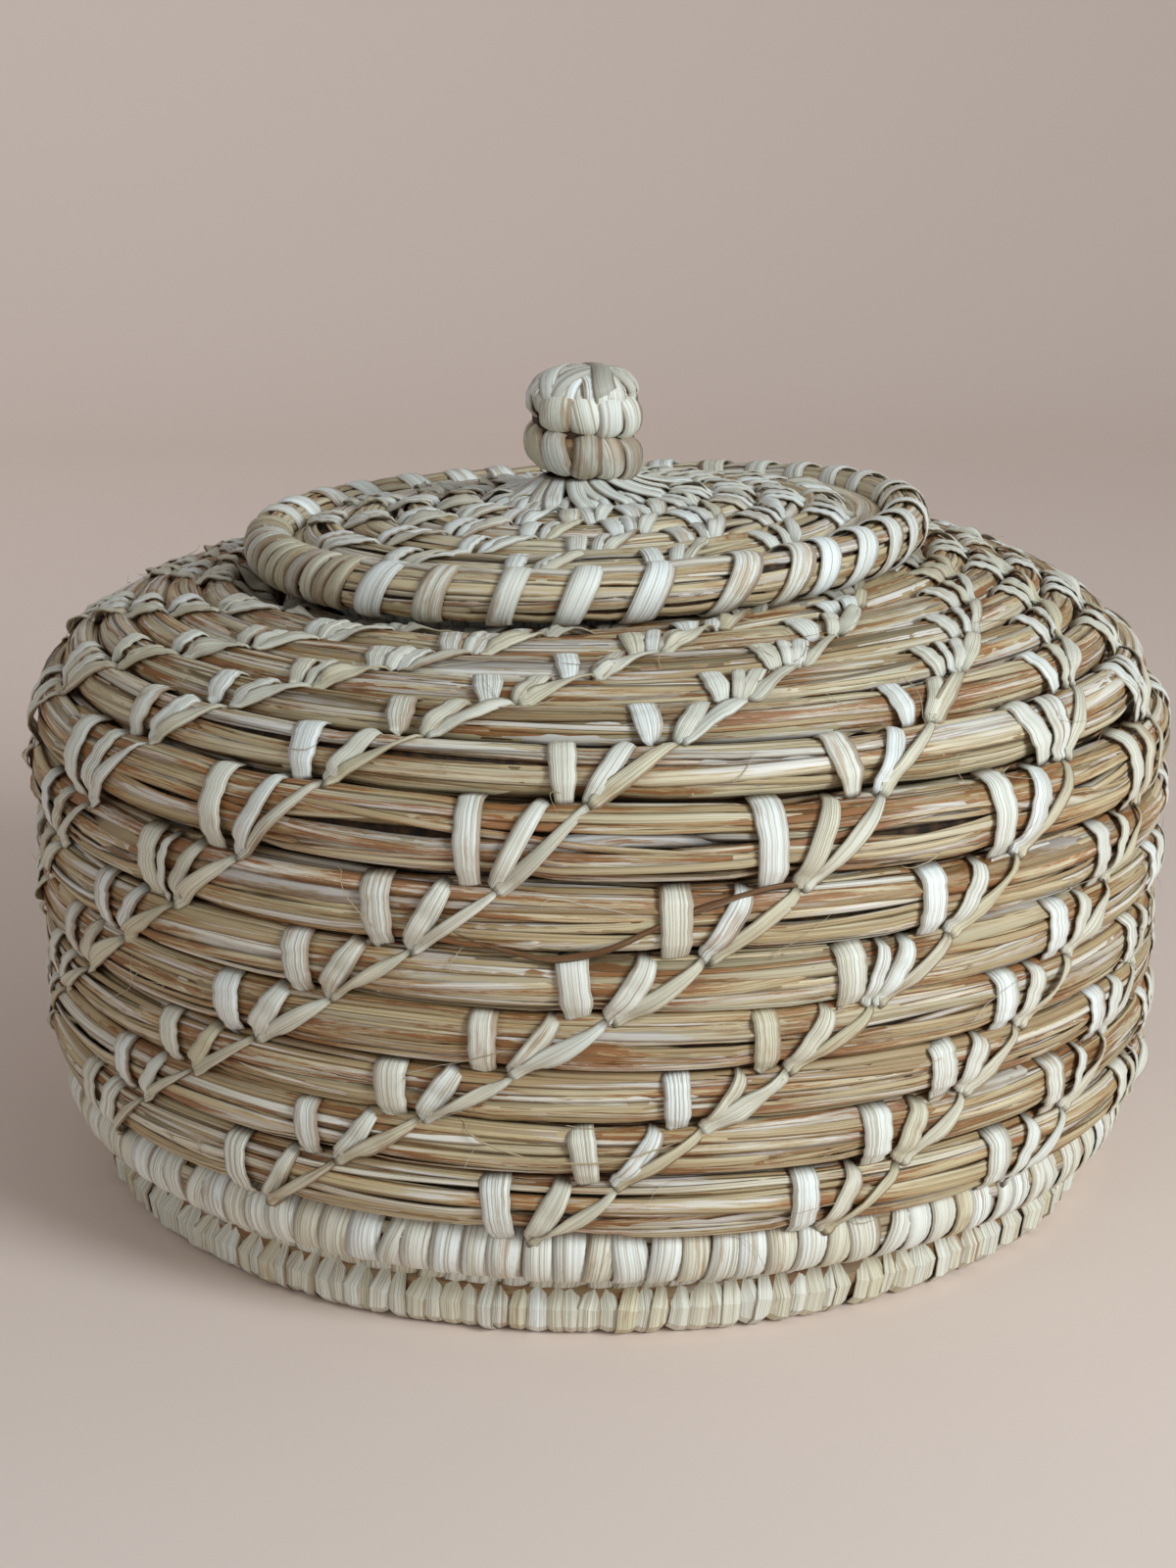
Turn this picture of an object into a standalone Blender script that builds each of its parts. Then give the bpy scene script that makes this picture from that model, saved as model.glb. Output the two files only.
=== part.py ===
"""Lidded coiled grass basket, metres, +Z up, front towards -Y, standing on Z = 0.

A grass bundle winds from the base up to the mouth. Chains of palm strip stitches hold each course
to the one below. The lid is a second coil with a rim, a seat ring below it and a wound knob on top.
"""

import math

import bmesh
import bpy
import numpy
from mathutils import Vector

# Whole basket
BODY_RADIUS = 0.1130
SHOULDER_HEIGHT = 0.1240
NEIGHBOUR_GAP = 0.0003
COURSE_GAP = 0.0008

# Foot ring, the chunky wrapped course that the basket stands on, as wide as the band above needs
FOOT_RADIUS_SHARE = 0.8938
FOOT_RADIUS = BODY_RADIUS * FOOT_RADIUS_SHARE
FOOT_CORD_RADIUS = 0.0068
FOOT_FLAT_DEPTH = 0.0007
FOOT_SIDES = 48

# Base, a flat spiral inside the foot ring
BASE_CORD_RADIUS = 0.0056
BASE_RAISE = 0.0012
BASE_START_RADIUS = 0.0090

# Wall coil: the first turn is the wrapped band, the others are the grass courses up to the mouth
POINTS_PER_LOOP = 24
WALL_TURNS = 14
BAND_START_TURN = -0.96
MOUTH_TAPER_TURNS = 0.45
MOUTH_TIP_SHARE = 0.30
# Width of each course against the others: band, then courses 1 to 14 from the band to the mouth
COURSE_WIDTH_SHARES = (
    1.18, 1.20, 1.06, 1.04, 1.14, 1.16, 1.26, 1.44, 0.98, 0.82, 0.78, 0.78, 0.80, 0.82, 0.84,
)
# Places that the middle of the coil passes: shares of BODY_RADIUS and SHOULDER_HEIGHT
WALL_PROFILE_SHARES = (
    (0.948, 0.115),
    (0.966, 0.166),
    (0.990, 0.250),
    (1.000, 0.350),
    (1.001, 0.520),
    (1.001, 0.690),
    (0.990, 0.805),
    (0.945, 0.893),
    (0.868, 0.947),
    (0.760, 0.984),
    (0.650, 1.004),
    (0.530, 1.012),
)

# Lean of the mouth and lid: they drop to the left and sit a little off the middle of the body
LEAN_ANGLE = math.radians(1.7)
LEAN_SHIFT = -0.0014
LEAN_START_TURN = 7.0
LEAN_FULL_TURN = 12.5

# Stitches: chains of straps and arms that climb the wall to the right
STITCH_RIBS = 15
STITCH_COURSES = 12
STITCH_SHIFT = math.radians(8.0)
STITCH_FIRST_ANGLE = math.radians(-8.8)
STRAP_WIDTH = 0.0048
ARM_WIDTH = 0.0036
STRIP_THICKNESS = 0.0006
STITCH_CLEARANCE = 0.0004
STITCH_SLOPE = math.radians(30.0)
STITCH_NODE_SHARE = 0.10

# Lid, whose rim is as wide as the mouth needs
LID_RIM_RADIUS_SHARE = 0.5912
LID_RIM_RADIUS = BODY_RADIUS * LID_RIM_RADIUS_SHARE
LID_RIM_CORD_RADIUS = 0.0049
LID_CORD_RADIUS = 0.0044
LID_START_RADIUS = 0.0094
LID_PLATE_DROP = 0.0010
LID_SETTLE = 0.0006
LID_DOME_RISE = 0.0056
LID_RIBS = 9
LID_RIB_SHIFT = math.radians(14.0)
LID_RIB_COURSES = 4
SEAT_CORD_RADIUS = 0.0040
SEAT_CLEARANCE = 0.0026

# Knob
KNOB_RADIUS = 0.0129
KNOB_CORD_RADIUS = 0.0040
KNOB_TURNS = 2
KNOB_CORE_RISE = 0.0012
KNOB_CORE_SIDES = 20

GRASS = ("grass", (0.58, 0.44, 0.25), 0.75)
PALM = ("palm", (0.74, 0.68, 0.55), 0.60)


def clear_scene():
    for item in list(bpy.data.objects):
        bpy.data.objects.remove(item, do_unlink=True)


def material(kind):
    name, colour, roughness = kind
    found = bpy.data.materials.get(name)
    if found:
        return found
    made = bpy.data.materials.new(name)
    made.use_nodes = True
    shader = made.node_tree.nodes["Principled BSDF"]
    shader.inputs["Base Color"].default_value = (*colour, 1.0)
    shader.inputs["Roughness"].default_value = roughness
    shader.inputs["Metallic"].default_value = 0.0
    return made


def add_object(name, data, kind, parent=None):
    made = bpy.data.objects.new(name, data)
    data.materials.append(material(kind))
    bpy.context.collection.objects.link(made)
    made.parent = parent
    return made


def smooth_step(value):
    value = min(max(value, 0.0), 1.0)
    return value * value * (3.0 - 2.0 * value)


class Profile:
    """A smooth outline through a few places, read by course number."""

    STEPS = 24

    def __init__(self, places, widths, first_turn):
        points = [Vector(place) for place in places]
        ends = [points[0] * 2 - points[1]] + points + [points[-1] * 2 - points[-2]]
        dense = []
        for index in range(len(points) - 1):
            before, here, there, after = ends[index:index + 4]
            for step in range(self.STEPS):
                part = step / self.STEPS
                swing = (there - before) * part
                bend = (before * 2 - here * 5 + there * 4 - after) * part ** 2
                turn = (here * 3 - before - there * 3 + after) * part ** 3
                dense.append(here + (swing + bend + turn) / 2)
        dense.append(points[-1])
        self.dense = numpy.array([tuple(point) for point in dense])
        steps = numpy.linalg.norm(numpy.diff(self.dense, axis=0), axis=1)
        self.walked = numpy.concatenate([[0.0], numpy.cumsum(steps)])
        bounds = numpy.concatenate([[0.0], numpy.cumsum(widths)])
        self.scale = self.walked[-1] / bounds[-1]
        self.turn_marks = first_turn + numpy.arange(len(bounds))
        self.bound_marks = bounds * self.scale
        self.middle_marks = first_turn + 0.5 + numpy.arange(len(widths))
        self.widths = numpy.array(widths) * self.scale

    def width(self, turn):
        return float(numpy.interp(turn, self.middle_marks, self.widths))

    def distance(self, turn):
        return float(numpy.interp(turn, self.turn_marks, self.bound_marks))

    def point(self, turn):
        far = self.distance(turn)
        radius = numpy.interp(far, self.walked, self.dense[:, 0])
        height = numpy.interp(far, self.walked, self.dense[:, 1])
        return Vector((float(radius), float(height)))

    def normal(self, turn):
        ahead = self.point(turn + 0.25) - self.point(turn - 0.25)
        return Vector((ahead.y, -ahead.x)).normalized()


WALL = Profile(
    [(BODY_RADIUS * radius, SHOULDER_HEIGHT * height) for radius, height in WALL_PROFILE_SHARES],
    COURSE_WIDTH_SHARES,
    -1.0,
)
FOOT_HEIGHT = FOOT_CORD_RADIUS - FOOT_FLAT_DEPTH


def lean(point, turn):
    """Shift and tip the top of the wall as the mouth lies."""
    share = smooth_step((turn - LEAN_START_TURN) / (LEAN_FULL_TURN - LEAN_START_TURN))
    rise = point.x * math.tan(LEAN_ANGLE) * share
    return point + Vector((LEAN_SHIFT * share, 0, rise))


def turn_angle(turn):
    """The coil climbs clockwise seen from above, and each whole turn starts at the back."""
    return math.pi / 2 - turn * math.tau


def wall_centre(turn):
    place = WALL.point(turn)
    angle = turn_angle(turn)
    flat = Vector((place.x * math.cos(angle), place.x * math.sin(angle), place.y))
    return lean(flat, turn)


def wall_cord_radius(turn):
    """The cord fills its share of the way to the loops below and above it."""
    here = WALL.width(turn)
    to_foot = (WALL.point(turn) - Vector((FOOT_RADIUS, FOOT_HEIGHT))).length - FOOT_CORD_RADIUS
    room = [to_foot - COURSE_GAP / 2]
    for other in (turn - 1, turn + 1):
        if -1 <= other <= WALL_TURNS:
            apart = (wall_centre(other) - wall_centre(turn)).length
            room.append(apart * here / (here + WALL.width(other)))
    taper = smooth_step((WALL_TURNS - turn) / MOUTH_TAPER_TURNS)
    return (min(room) - COURSE_GAP / 2) * (MOUTH_TIP_SHARE + (1 - MOUTH_TIP_SHARE) * taper)


def tube(name, centres, radii, kind, parent=None, tilts=None):
    """One unbroken round cord along the centres; a tilt turns its facets about its own line."""
    curve = bpy.data.curves.new(name, "CURVE")
    curve.dimensions = "3D"
    curve.twist_mode = "Z_UP"
    curve.bevel_depth = max(radii)
    curve.bevel_resolution = 1
    curve.use_fill_caps = True
    spline = curve.splines.new("POLY")
    spline.points.add(len(centres) - 1)
    for point, centre, radius, tilt in zip(spline.points, centres, radii, tilts or [0.0] * len(radii)):
        point.co = (*centre, 1.0)
        point.radius = radius / curve.bevel_depth
        point.tilt = tilt
    spline.use_smooth = True
    return add_object(name, curve, kind, parent)


def turns_between(first, last):
    count = max(2, round((last - first) * POINTS_PER_LOOP))
    return [first + (last - first) * index / count for index in range(count + 1)]


def slit_ends(before, after):
    """Where a cord is cut square, half a gap each side of the middle of a straight run."""
    middle = (before + after) / 2
    reach = (after - before).normalized() * COURSE_GAP / 2
    return middle - reach, middle + reach


def least_gap(name, centres, radii):
    """Print the least clear distance between neighbouring loops of one cord."""
    spots = numpy.array([tuple(centre) for centre in centres])
    sizes = numpy.array(radii)
    apart = numpy.linalg.norm(spots[:, None] - spots[None], axis=2) - sizes[:, None] - sizes[None]
    order = numpy.arange(len(spots))
    far = numpy.abs(order[:, None] - order[None]) > POINTS_PER_LOOP // 2
    if far.any():
        print(f"least gap of {name} to itself: {apart[far].min() * 1000:.2f} mm")


def lathe(name, outline, sides, kind, parent=None, closed=False):
    """Turn an outline of (radius, height) pairs about Z, capped unless it is closed."""
    mesh = bmesh.new()
    rows = []
    for radius, height in outline:
        row = []
        for side in range(sides):
            angle = math.tau * side / sides
            row.append(mesh.verts.new((radius * math.cos(angle), radius * math.sin(angle), height)))
        rows.append(row)
    pairs = list(zip(rows, rows[1:]))
    if closed:
        pairs.append((rows[-1], rows[0]))
    for low, high in pairs:
        for side in range(sides):
            near = (side + 1) % sides
            mesh.faces.new((low[side], low[near], high[near], high[side]))
    if not closed:
        mesh.faces.new(list(reversed(rows[0])))
        mesh.faces.new(rows[-1])
    bmesh.ops.recalc_face_normals(mesh, faces=mesh.faces)
    data = bpy.data.meshes.new(name)
    mesh.to_mesh(data)
    mesh.free()
    data.shade_smooth()
    data.set_sharp_from_angle(angle=math.radians(50))
    return add_object(name, data, kind, parent)


def foot_coil():
    """The ring that the basket stands on, cut flat underneath."""
    outline = []
    half_flat = math.sqrt(FOOT_CORD_RADIUS ** 2 - FOOT_HEIGHT ** 2)
    start = math.atan2(-FOOT_HEIGHT, half_flat)
    corners = 8
    for corner in range(corners):
        angle = start + (math.pi - 2 * start) * corner / (corners - 1)
        outline.append((
            FOOT_RADIUS + FOOT_CORD_RADIUS * math.cos(angle),
            FOOT_HEIGHT + FOOT_CORD_RADIUS * math.sin(angle),
        ))
    lathe("foot_coil", outline, FOOT_SIDES, PALM, closed=True)


def base_coil():
    """A flat spiral that fills the foot ring, and the knot that it starts from."""
    height = BASE_RAISE + BASE_CORD_RADIUS
    pitch = 2 * BASE_CORD_RADIUS + COURSE_GAP
    last = FOOT_RADIUS - FOOT_CORD_RADIUS - NEIGHBOUR_GAP - BASE_CORD_RADIUS
    loops = (last - BASE_START_RADIUS) / pitch
    centres = []
    for turn in turns_between(0.0, loops):
        radius = BASE_START_RADIUS + pitch * turn
        angle = turn_angle(turn - loops)
        centres.append(Vector((radius * math.cos(angle), radius * math.sin(angle), height)))
    radii = [BASE_CORD_RADIUS] * len(centres)
    tube("base_coil", centres, radii, GRASS)
    least_gap("base_coil", centres, radii)
    knot = BASE_START_RADIUS - BASE_CORD_RADIUS - NEIGHBOUR_GAP
    top = height + BASE_CORD_RADIUS
    bevel = knot / 3
    outline = [
        (knot - bevel, BASE_RAISE), (knot, BASE_RAISE + bevel), (knot, top - bevel), (knot - bevel, top),
    ]
    lathe("base_start_knot", outline, KNOB_CORE_SIDES, PALM)


def wall_tilt(turn):
    """Turns the six-sided cord so that its corners face the loops below and above it."""
    ahead = WALL.point(turn + 0.25) - WALL.point(turn - 0.25)
    return math.radians(30) - math.atan2(-ahead.x, ahead.y)


def wall_coils():
    """The wrapped band and the grass wall, one winding that is cut at the back above the band."""
    half_step = 0.5 / POINTS_PER_LOOP
    band_turns = turns_between(BAND_START_TURN, -half_step)
    wall_turns = turns_between(half_step, float(WALL_TURNS))
    band_end, wall_start = slit_ends(wall_centre(-half_step), wall_centre(half_step))
    band = [wall_centre(turn) for turn in band_turns] + [band_end]
    wall = [wall_start] + [wall_centre(turn) for turn in wall_turns]
    cut_radius = wall_cord_radius(0.0)
    band_radii = [wall_cord_radius(turn) for turn in band_turns] + [cut_radius]
    wall_radii = [cut_radius] + [wall_cord_radius(turn) for turn in wall_turns]
    band_tilts = [wall_tilt(turn) for turn in band_turns] + [wall_tilt(0.0)]
    wall_tilts = [wall_tilt(0.0)] + [wall_tilt(turn) for turn in wall_turns]
    tube("band_coil", band, band_radii, PALM, tilts=band_tilts)
    tube("wall_coil", wall, wall_radii, GRASS, tilts=wall_tilts)
    least_gap("band and wall", band + wall, band_radii + wall_radii)


class Surface:
    """Where a strip lies on a coil: it bridges the grooves and rides over each course."""

    def __init__(self, profile, cord_radius, shift_turn, finish):
        self.profile = profile
        self.cord_radius = cord_radius
        self.shift_turn = shift_turn
        self.finish = finish

    def place(self, angle, course, lift):
        """angle in radians from the front, course counted from the first groove."""
        turn = self.shift_turn(angle, course)
        middle = self.shift_turn(angle, math.floor(course) + 0.5)
        reach = self.cord_radius(middle) + STITCH_CLEARANCE
        crest = reach / math.cos(STITCH_SLOPE)
        half = self.profile.width(middle) / 2
        groove = (reach - half * math.sin(STITCH_SLOPE)) / math.cos(STITCH_SLOPE)
        share = 1.0 - abs(2.0 * (course - math.floor(course)) - 1.0)
        out = groove + (crest - groove) * share + lift
        place = self.profile.point(turn) + self.profile.normal(turn) * out
        heading = angle - math.pi / 2
        flat = Vector((place.x * math.cos(heading), place.x * math.sin(heading), place.y))
        return self.finish(flat, turn)

    def radius(self, angle, course):
        return self.profile.point(self.shift_turn(angle, course)).x


def strip_solid(name, cells, surface, kind, parent=None):
    """Thicken a sheet of cells, each a loop of (angle, course) corners, into one closed strip."""
    corners = {}
    faces = []
    mesh = bmesh.new()
    for cell in cells:
        face = []
        for corner in cell:
            key = (round(corner[0], 6), round(corner[1], 6))
            if key not in corners:
                corners[key] = [mesh.verts.new(surface.place(*corner, lift)) for lift in (STRIP_THICKNESS, 0.0)]
            face.append(key)
        faces.append(face)
    sides = {}
    for face in faces:
        mesh.faces.new([corners[key][0] for key in face])
        mesh.faces.new([corners[key][1] for key in reversed(face)])
        for here, there in zip(face, face[1:] + face[:1]):
            if (there, here) in sides:
                del sides[(there, here)]
            else:
                sides[(here, there)] = True
    for here, there in sides:
        mesh.faces.new((corners[there][0], corners[here][0], corners[here][1], corners[there][1]))
    bmesh.ops.recalc_face_normals(mesh, faces=mesh.faces)
    data = bpy.data.meshes.new(name)
    mesh.to_mesh(data)
    mesh.free()
    return add_object(name, data, kind, parent)


def wall_turn(angle, course):
    return course - angle / math.tau


def stitch_cells(surface, first_angle, shift, courses):
    """A strap over every course, and an arm from its foot to the foot of the next strap."""
    cells = []
    for index in range(courses):
        angle = first_angle + shift * index
        radius = surface.radius(angle, index + 0.5)
        strap = STRAP_WIDTH / radius
        arm = ARM_WIDTH / radius
        left = angle - strap / 2
        right = angle + strap / 2
        far = right + arm
        low = index - STITCH_NODE_SHARE
        high = index + STITCH_NODE_SHARE
        crest = index + 0.5
        top = index + 1 - STITCH_NODE_SHARE
        if index:
            cells.append([(left, low), (right, low), (right, high), (left, high)])
            cells.append([(right, low), (far, high), (right, high)])
        else:
            cells.append([(left, low), (right, low), (far, low), (far, high), (right, high), (left, high)])
        cells.append([(left, high), (right, high), (right, crest), (left, crest)])
        cells.append([(left, crest), (right, crest), (right, top), (left, top)])
        if index + 1 < courses:
            next_angle = angle + shift
            next_strap = STRAP_WIDTH / surface.radius(next_angle, index + 1.5)
            next_left = next_angle - next_strap / 2
            next_right = next_angle + next_strap / 2
            middle_left = (right + next_left) / 2
            middle_right = (far + next_right) / 2
            cells.append([(right, high), (far, high), (middle_right, crest), (middle_left, crest)])
            cells.append([(middle_left, crest), (middle_right, crest), (next_right, top), (next_left, top)])
    return cells


def wall_stitches():
    surface = Surface(WALL, wall_cord_radius, wall_turn, lean)
    for rib in range(STITCH_RIBS):
        angle = STITCH_FIRST_ANGLE + math.tau * rib / STITCH_RIBS
        if angle > math.pi - STITCH_SHIFT:
            angle -= math.tau
        cells = stitch_cells(surface, angle, STITCH_SHIFT, STITCH_COURSES)
        strip_solid(f"stitch_rib_{rib + 1:02d}", cells, surface, PALM)


def mouth_seat_height():
    """The lowest height of the lid rim's middle that clears the courses round the mouth."""
    reach = LID_RIM_CORD_RADIUS + NEIGHBOUR_GAP
    heights = []
    for turn in turns_between(WALL_TURNS - 3.0, float(WALL_TURNS)):
        place = WALL.point(turn)
        apart = wall_cord_radius(turn) + reach
        aside = abs(place.x - LID_RIM_RADIUS)
        if aside < apart:
            heights.append(place.y + math.sqrt(apart ** 2 - aside ** 2))
    return max(heights) - LID_SETTLE


def mouth_inner_radius():
    turns = turns_between(WALL_TURNS - 1.5, float(WALL_TURNS))
    return min(WALL.point(turn).x - wall_cord_radius(turn) for turn in turns)


LID_HEIGHT = mouth_seat_height()
LID_PITCH = 2 * LID_CORD_RADIUS + COURSE_GAP
LID_LAST_RADIUS = LID_RIM_RADIUS - LID_RIM_CORD_RADIUS - NEIGHBOUR_GAP - LID_CORD_RADIUS
LID_LOOPS = (LID_LAST_RADIUS - LID_START_RADIUS) / LID_PITCH


def lid_plate_height(radius):
    """Height of the middle of the lid's coil above the middle of its rim."""
    share = (radius / LID_LAST_RADIUS) ** 2
    return LID_DOME_RISE * (1 - share) - LID_PLATE_DROP


def ring_centres(radius, height):
    """One loop that closes at the back but for a fine slit."""
    half_step = 0.5 / POINTS_PER_LOOP
    centres = []
    for turn in turns_between(half_step, 1 - half_step):
        angle = turn_angle(turn)
        centres.append(Vector((radius * math.cos(angle), radius * math.sin(angle), height)))
    last, first = slit_ends(centres[-1], centres[0])
    return [first] + centres + [last]


def lid_plate_point(turn):
    radius = LID_START_RADIUS + LID_PITCH * turn
    angle = turn_angle(turn - LID_LOOPS)
    height = lid_plate_height(radius)
    return Vector((radius * math.cos(angle), radius * math.sin(angle), height))


class LidProfile:
    """The top of the lid's coil, read by turns from its outer end inwards."""

    def point(self, turn):
        radius = LID_LAST_RADIUS - LID_PITCH * turn
        return Vector((radius, lid_plate_height(radius)))

    def normal(self, turn):
        ahead = self.point(turn + 0.25) - self.point(turn - 0.25)
        return Vector((ahead.y, -ahead.x)).normalized()

    def width(self, turn):
        return LID_PITCH


def lid_coils(parent):
    rim = ring_centres(LID_RIM_RADIUS, 0.0)
    tube("lid_rim_coil", rim, [LID_RIM_CORD_RADIUS] * len(rim), GRASS, parent)
    plate = [lid_plate_point(turn) for turn in turns_between(0.0, LID_LOOPS)]
    plate_radii = [LID_CORD_RADIUS] * len(plate)
    tube("lid_coil", plate, plate_radii, GRASS, parent)
    least_gap("lid_coil", plate, plate_radii)
    seat_radius = mouth_inner_radius() - SEAT_CLEARANCE - SEAT_CORD_RADIUS
    seat_reach = LID_CORD_RADIUS + SEAT_CORD_RADIUS + NEIGHBOUR_GAP
    seat_height = lid_plate_height(seat_radius) - seat_reach
    seat = ring_centres(seat_radius, seat_height)
    tube("lid_seat_ring", seat, [SEAT_CORD_RADIUS] * len(seat), PALM, parent)


def lid_knob(parent):
    """A wound knob round a core whose neck fills the hole at the middle of the lid."""
    winding = KNOB_RADIUS - KNOB_CORD_RADIUS
    under = lid_plate_height(LID_START_RADIUS) + LID_CORD_RADIUS
    bottom = under + NEIGHBOUR_GAP + KNOB_CORD_RADIUS
    pitch = 2 * KNOB_CORD_RADIUS + COURSE_GAP
    centres = []
    for turn in turns_between(0.0, float(KNOB_TURNS)):
        angle = turn_angle(turn)
        height = bottom + pitch * turn
        centres.append(Vector((winding * math.cos(angle), winding * math.sin(angle), height)))
    radii = [KNOB_CORD_RADIUS] * len(centres)
    tube("knob_coil", centres, radii, PALM, parent)
    least_gap("knob_coil", centres, radii)
    core = winding - KNOB_CORD_RADIUS - NEIGHBOUR_GAP
    neck = LID_START_RADIUS - LID_CORD_RADIUS - NEIGHBOUR_GAP
    neck_foot = lid_plate_height(LID_START_RADIUS) - LID_CORD_RADIUS
    shoulder = under + NEIGHBOUR_GAP
    top = bottom + pitch * KNOB_TURNS + KNOB_CORE_RISE
    outline = [
        (neck, neck_foot), (neck, shoulder), (core, shoulder), (core, top - core / 3), (core * 2 / 3, top),
    ]
    lathe("knob_core", outline, KNOB_CORE_SIDES, PALM, parent)


def lid_stitches(parent):
    """Radiating chains of stitches on the top of the lid."""
    surface = Surface(
        LidProfile(),
        lambda turn: LID_CORD_RADIUS,
        lambda angle, course: course - 0.5 + (angle - math.pi) / math.tau,
        lambda point, turn: point,
    )
    for rib in range(LID_RIBS):
        first = math.pi + math.tau * rib / LID_RIBS
        cells = []
        for index in range(1, LID_RIB_COURSES):
            angle = first + LID_RIB_SHIFT * index
            next_angle = angle + LID_RIB_SHIFT
            half = STRAP_WIDTH / 2 / surface.radius(angle, index)
            next_half = STRAP_WIDTH / 2 / surface.radius(next_angle, index + 1)
            middle = (angle + next_angle) / 2
            middle_half = (half + next_half) / 2
            crest = index + 0.5
            cells.append([
                (angle - half, index), (angle + half, index),
                (middle + middle_half, crest), (middle - middle_half, crest),
            ])
            cells.append([
                (middle - middle_half, crest), (middle + middle_half, crest),
                (next_angle + next_half, index + 1), (next_angle - next_half, index + 1),
            ])
        strip_solid(f"lid_stitch_{rib + 1:02d}", cells, surface, PALM, parent)


def lid():
    axis = bpy.data.objects.new("lid_axis", None)
    bpy.context.collection.objects.link(axis)
    axis.location = (LEAN_SHIFT, 0, LID_HEIGHT)
    axis.rotation_euler = (0, -LEAN_ANGLE, 0)
    lid_coils(axis)
    lid_knob(axis)
    lid_stitches(axis)


def main():
    clear_scene()
    foot_coil()
    base_coil()
    wall_coils()
    wall_stitches()
    lid()


main()
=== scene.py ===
import math

import bmesh
import bpy
import numpy as np
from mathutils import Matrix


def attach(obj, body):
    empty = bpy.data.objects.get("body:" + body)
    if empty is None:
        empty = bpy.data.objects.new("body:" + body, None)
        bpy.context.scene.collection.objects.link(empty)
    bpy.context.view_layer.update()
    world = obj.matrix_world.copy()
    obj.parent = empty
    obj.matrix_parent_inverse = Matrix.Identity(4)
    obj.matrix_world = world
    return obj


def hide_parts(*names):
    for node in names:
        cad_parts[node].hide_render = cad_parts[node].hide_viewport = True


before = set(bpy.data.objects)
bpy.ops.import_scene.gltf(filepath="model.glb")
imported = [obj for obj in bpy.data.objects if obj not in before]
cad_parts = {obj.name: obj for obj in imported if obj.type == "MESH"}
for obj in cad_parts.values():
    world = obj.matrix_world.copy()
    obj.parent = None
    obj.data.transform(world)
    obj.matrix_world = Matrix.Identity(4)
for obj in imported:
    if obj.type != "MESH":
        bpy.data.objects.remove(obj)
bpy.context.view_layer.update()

# Lidded coiled grass basket. Bundles of straw wind from the base to the mouth, and palm strips
# hold them: chains of stitches on the wall and lid, wraps on the foot, band, rim and knob.

TAU = math.tau
MM = 0.001
TINY = 1e-6

# Foot, base, band and wall. Most sizes are the frame's too; turns count from the back, and
# course widths and the wall's profile are shares of the whole.
BODY_RADIUS = 0.1130
SHOULDER_HEIGHT = 0.1240
FOOT_RADIUS = 0.1010
FOOT_HEIGHT = 0.0061
BASE_HEIGHT = 0.0068
BASE_START_RADIUS = 0.0090
BASE_LAST_RADIUS = 0.0883
BASE_PITCH = 0.0120
BASE_LOOPS = (BASE_LAST_RADIUS - BASE_START_RADIUS) / BASE_PITCH
BAND_START_TURN = -0.96
BAND_START_INSET = 0.0045
BAND_START_INSET_TURNS = 0.3
BAND_START_LEAST_HALF = 0.0006
WALL_TURNS = 14
MOUTH_TAPER_TURNS = 0.45
MOUTH_TIP_SHARE = 0.30
COURSE_WIDTH_SHARES = (
    1.18, 1.20, 1.06, 1.04, 1.14, 1.16, 1.26, 1.44, 0.98, 0.82, 0.78, 0.78, 0.80, 0.82, 0.84,
)
WALL_PROFILE_SHARES = (
    (0.948, 0.115), (0.966, 0.166), (0.990, 0.250), (1.000, 0.350), (1.001, 0.520), (1.001, 0.690),
    (0.990, 0.805), (0.945, 0.893), (0.868, 0.947), (0.760, 0.984), (0.650, 1.004), (0.530, 1.012),
)

# Lid and knob
LID_HEIGHT = 0.13335
LID_RIM_RADIUS = 0.0668
LID_RIM_CORD_RADIUS = 0.0049
LID_CORD_RADIUS = 0.0044
LID_PITCH = 0.0096
LID_START_RADIUS = 0.0094
LID_LAST_RADIUS = 0.0572
LID_LOOPS = (LID_LAST_RADIUS - LID_START_RADIUS) / LID_PITCH
LID_DOME_RISE = 0.0056
LID_PLATE_DROP = 0.0010
SEAT_RADIUS = 0.0522
SEAT_DROP = 0.0087
KNOB_WINDING_RADIUS = 0.0087
KNOB_CORD_RADIUS = 0.0040
KNOB_PITCH = 0.0088
KNOB_GAP = 0.0003
KNOB_FILL_WIDTH = 0.0212
KNOB_FILL_DROP = 0.0008
BUN_LIFT = 0.0150
BUN_RISE = 0.0062
BUN_RADIUS = 0.0112
BUN_STRIPS = 34
FOOT_FAN_START = 0.0085
FOOT_FAN_STRIPS = 21

# Out of true, as the photo shows it: the mouth leans to the left and the lid with it, the lid is
# bent and moved, and the last courses drop under its rim, most at the left
LEAN_ANGLE = math.radians(1.7)
LEAN_SHIFT = -0.0014
LEAN_START_TURN = 7.0
LEAN_FULL_TURN = 12.5
LID_WARP = 0.0011
LID_SIDE_TILT = 0.0005
LID_BACK_DROP = 0.0012
LID_SHIFT = -0.0011
RIM_GAP = 0.0056
RIM_GAP_START_TURN = 12.1
RIM_GAP_TURNS = 0.7
RIM_GAP_MIDDLE_SHARE = 0.55
RIM_GAP_SIDE_SHARE = 0.45
# The foot slopes inwards from this height above its middle
FOOT_SLOPE = 0.75
FOOT_SLOPE_START = 0.0008

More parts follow.
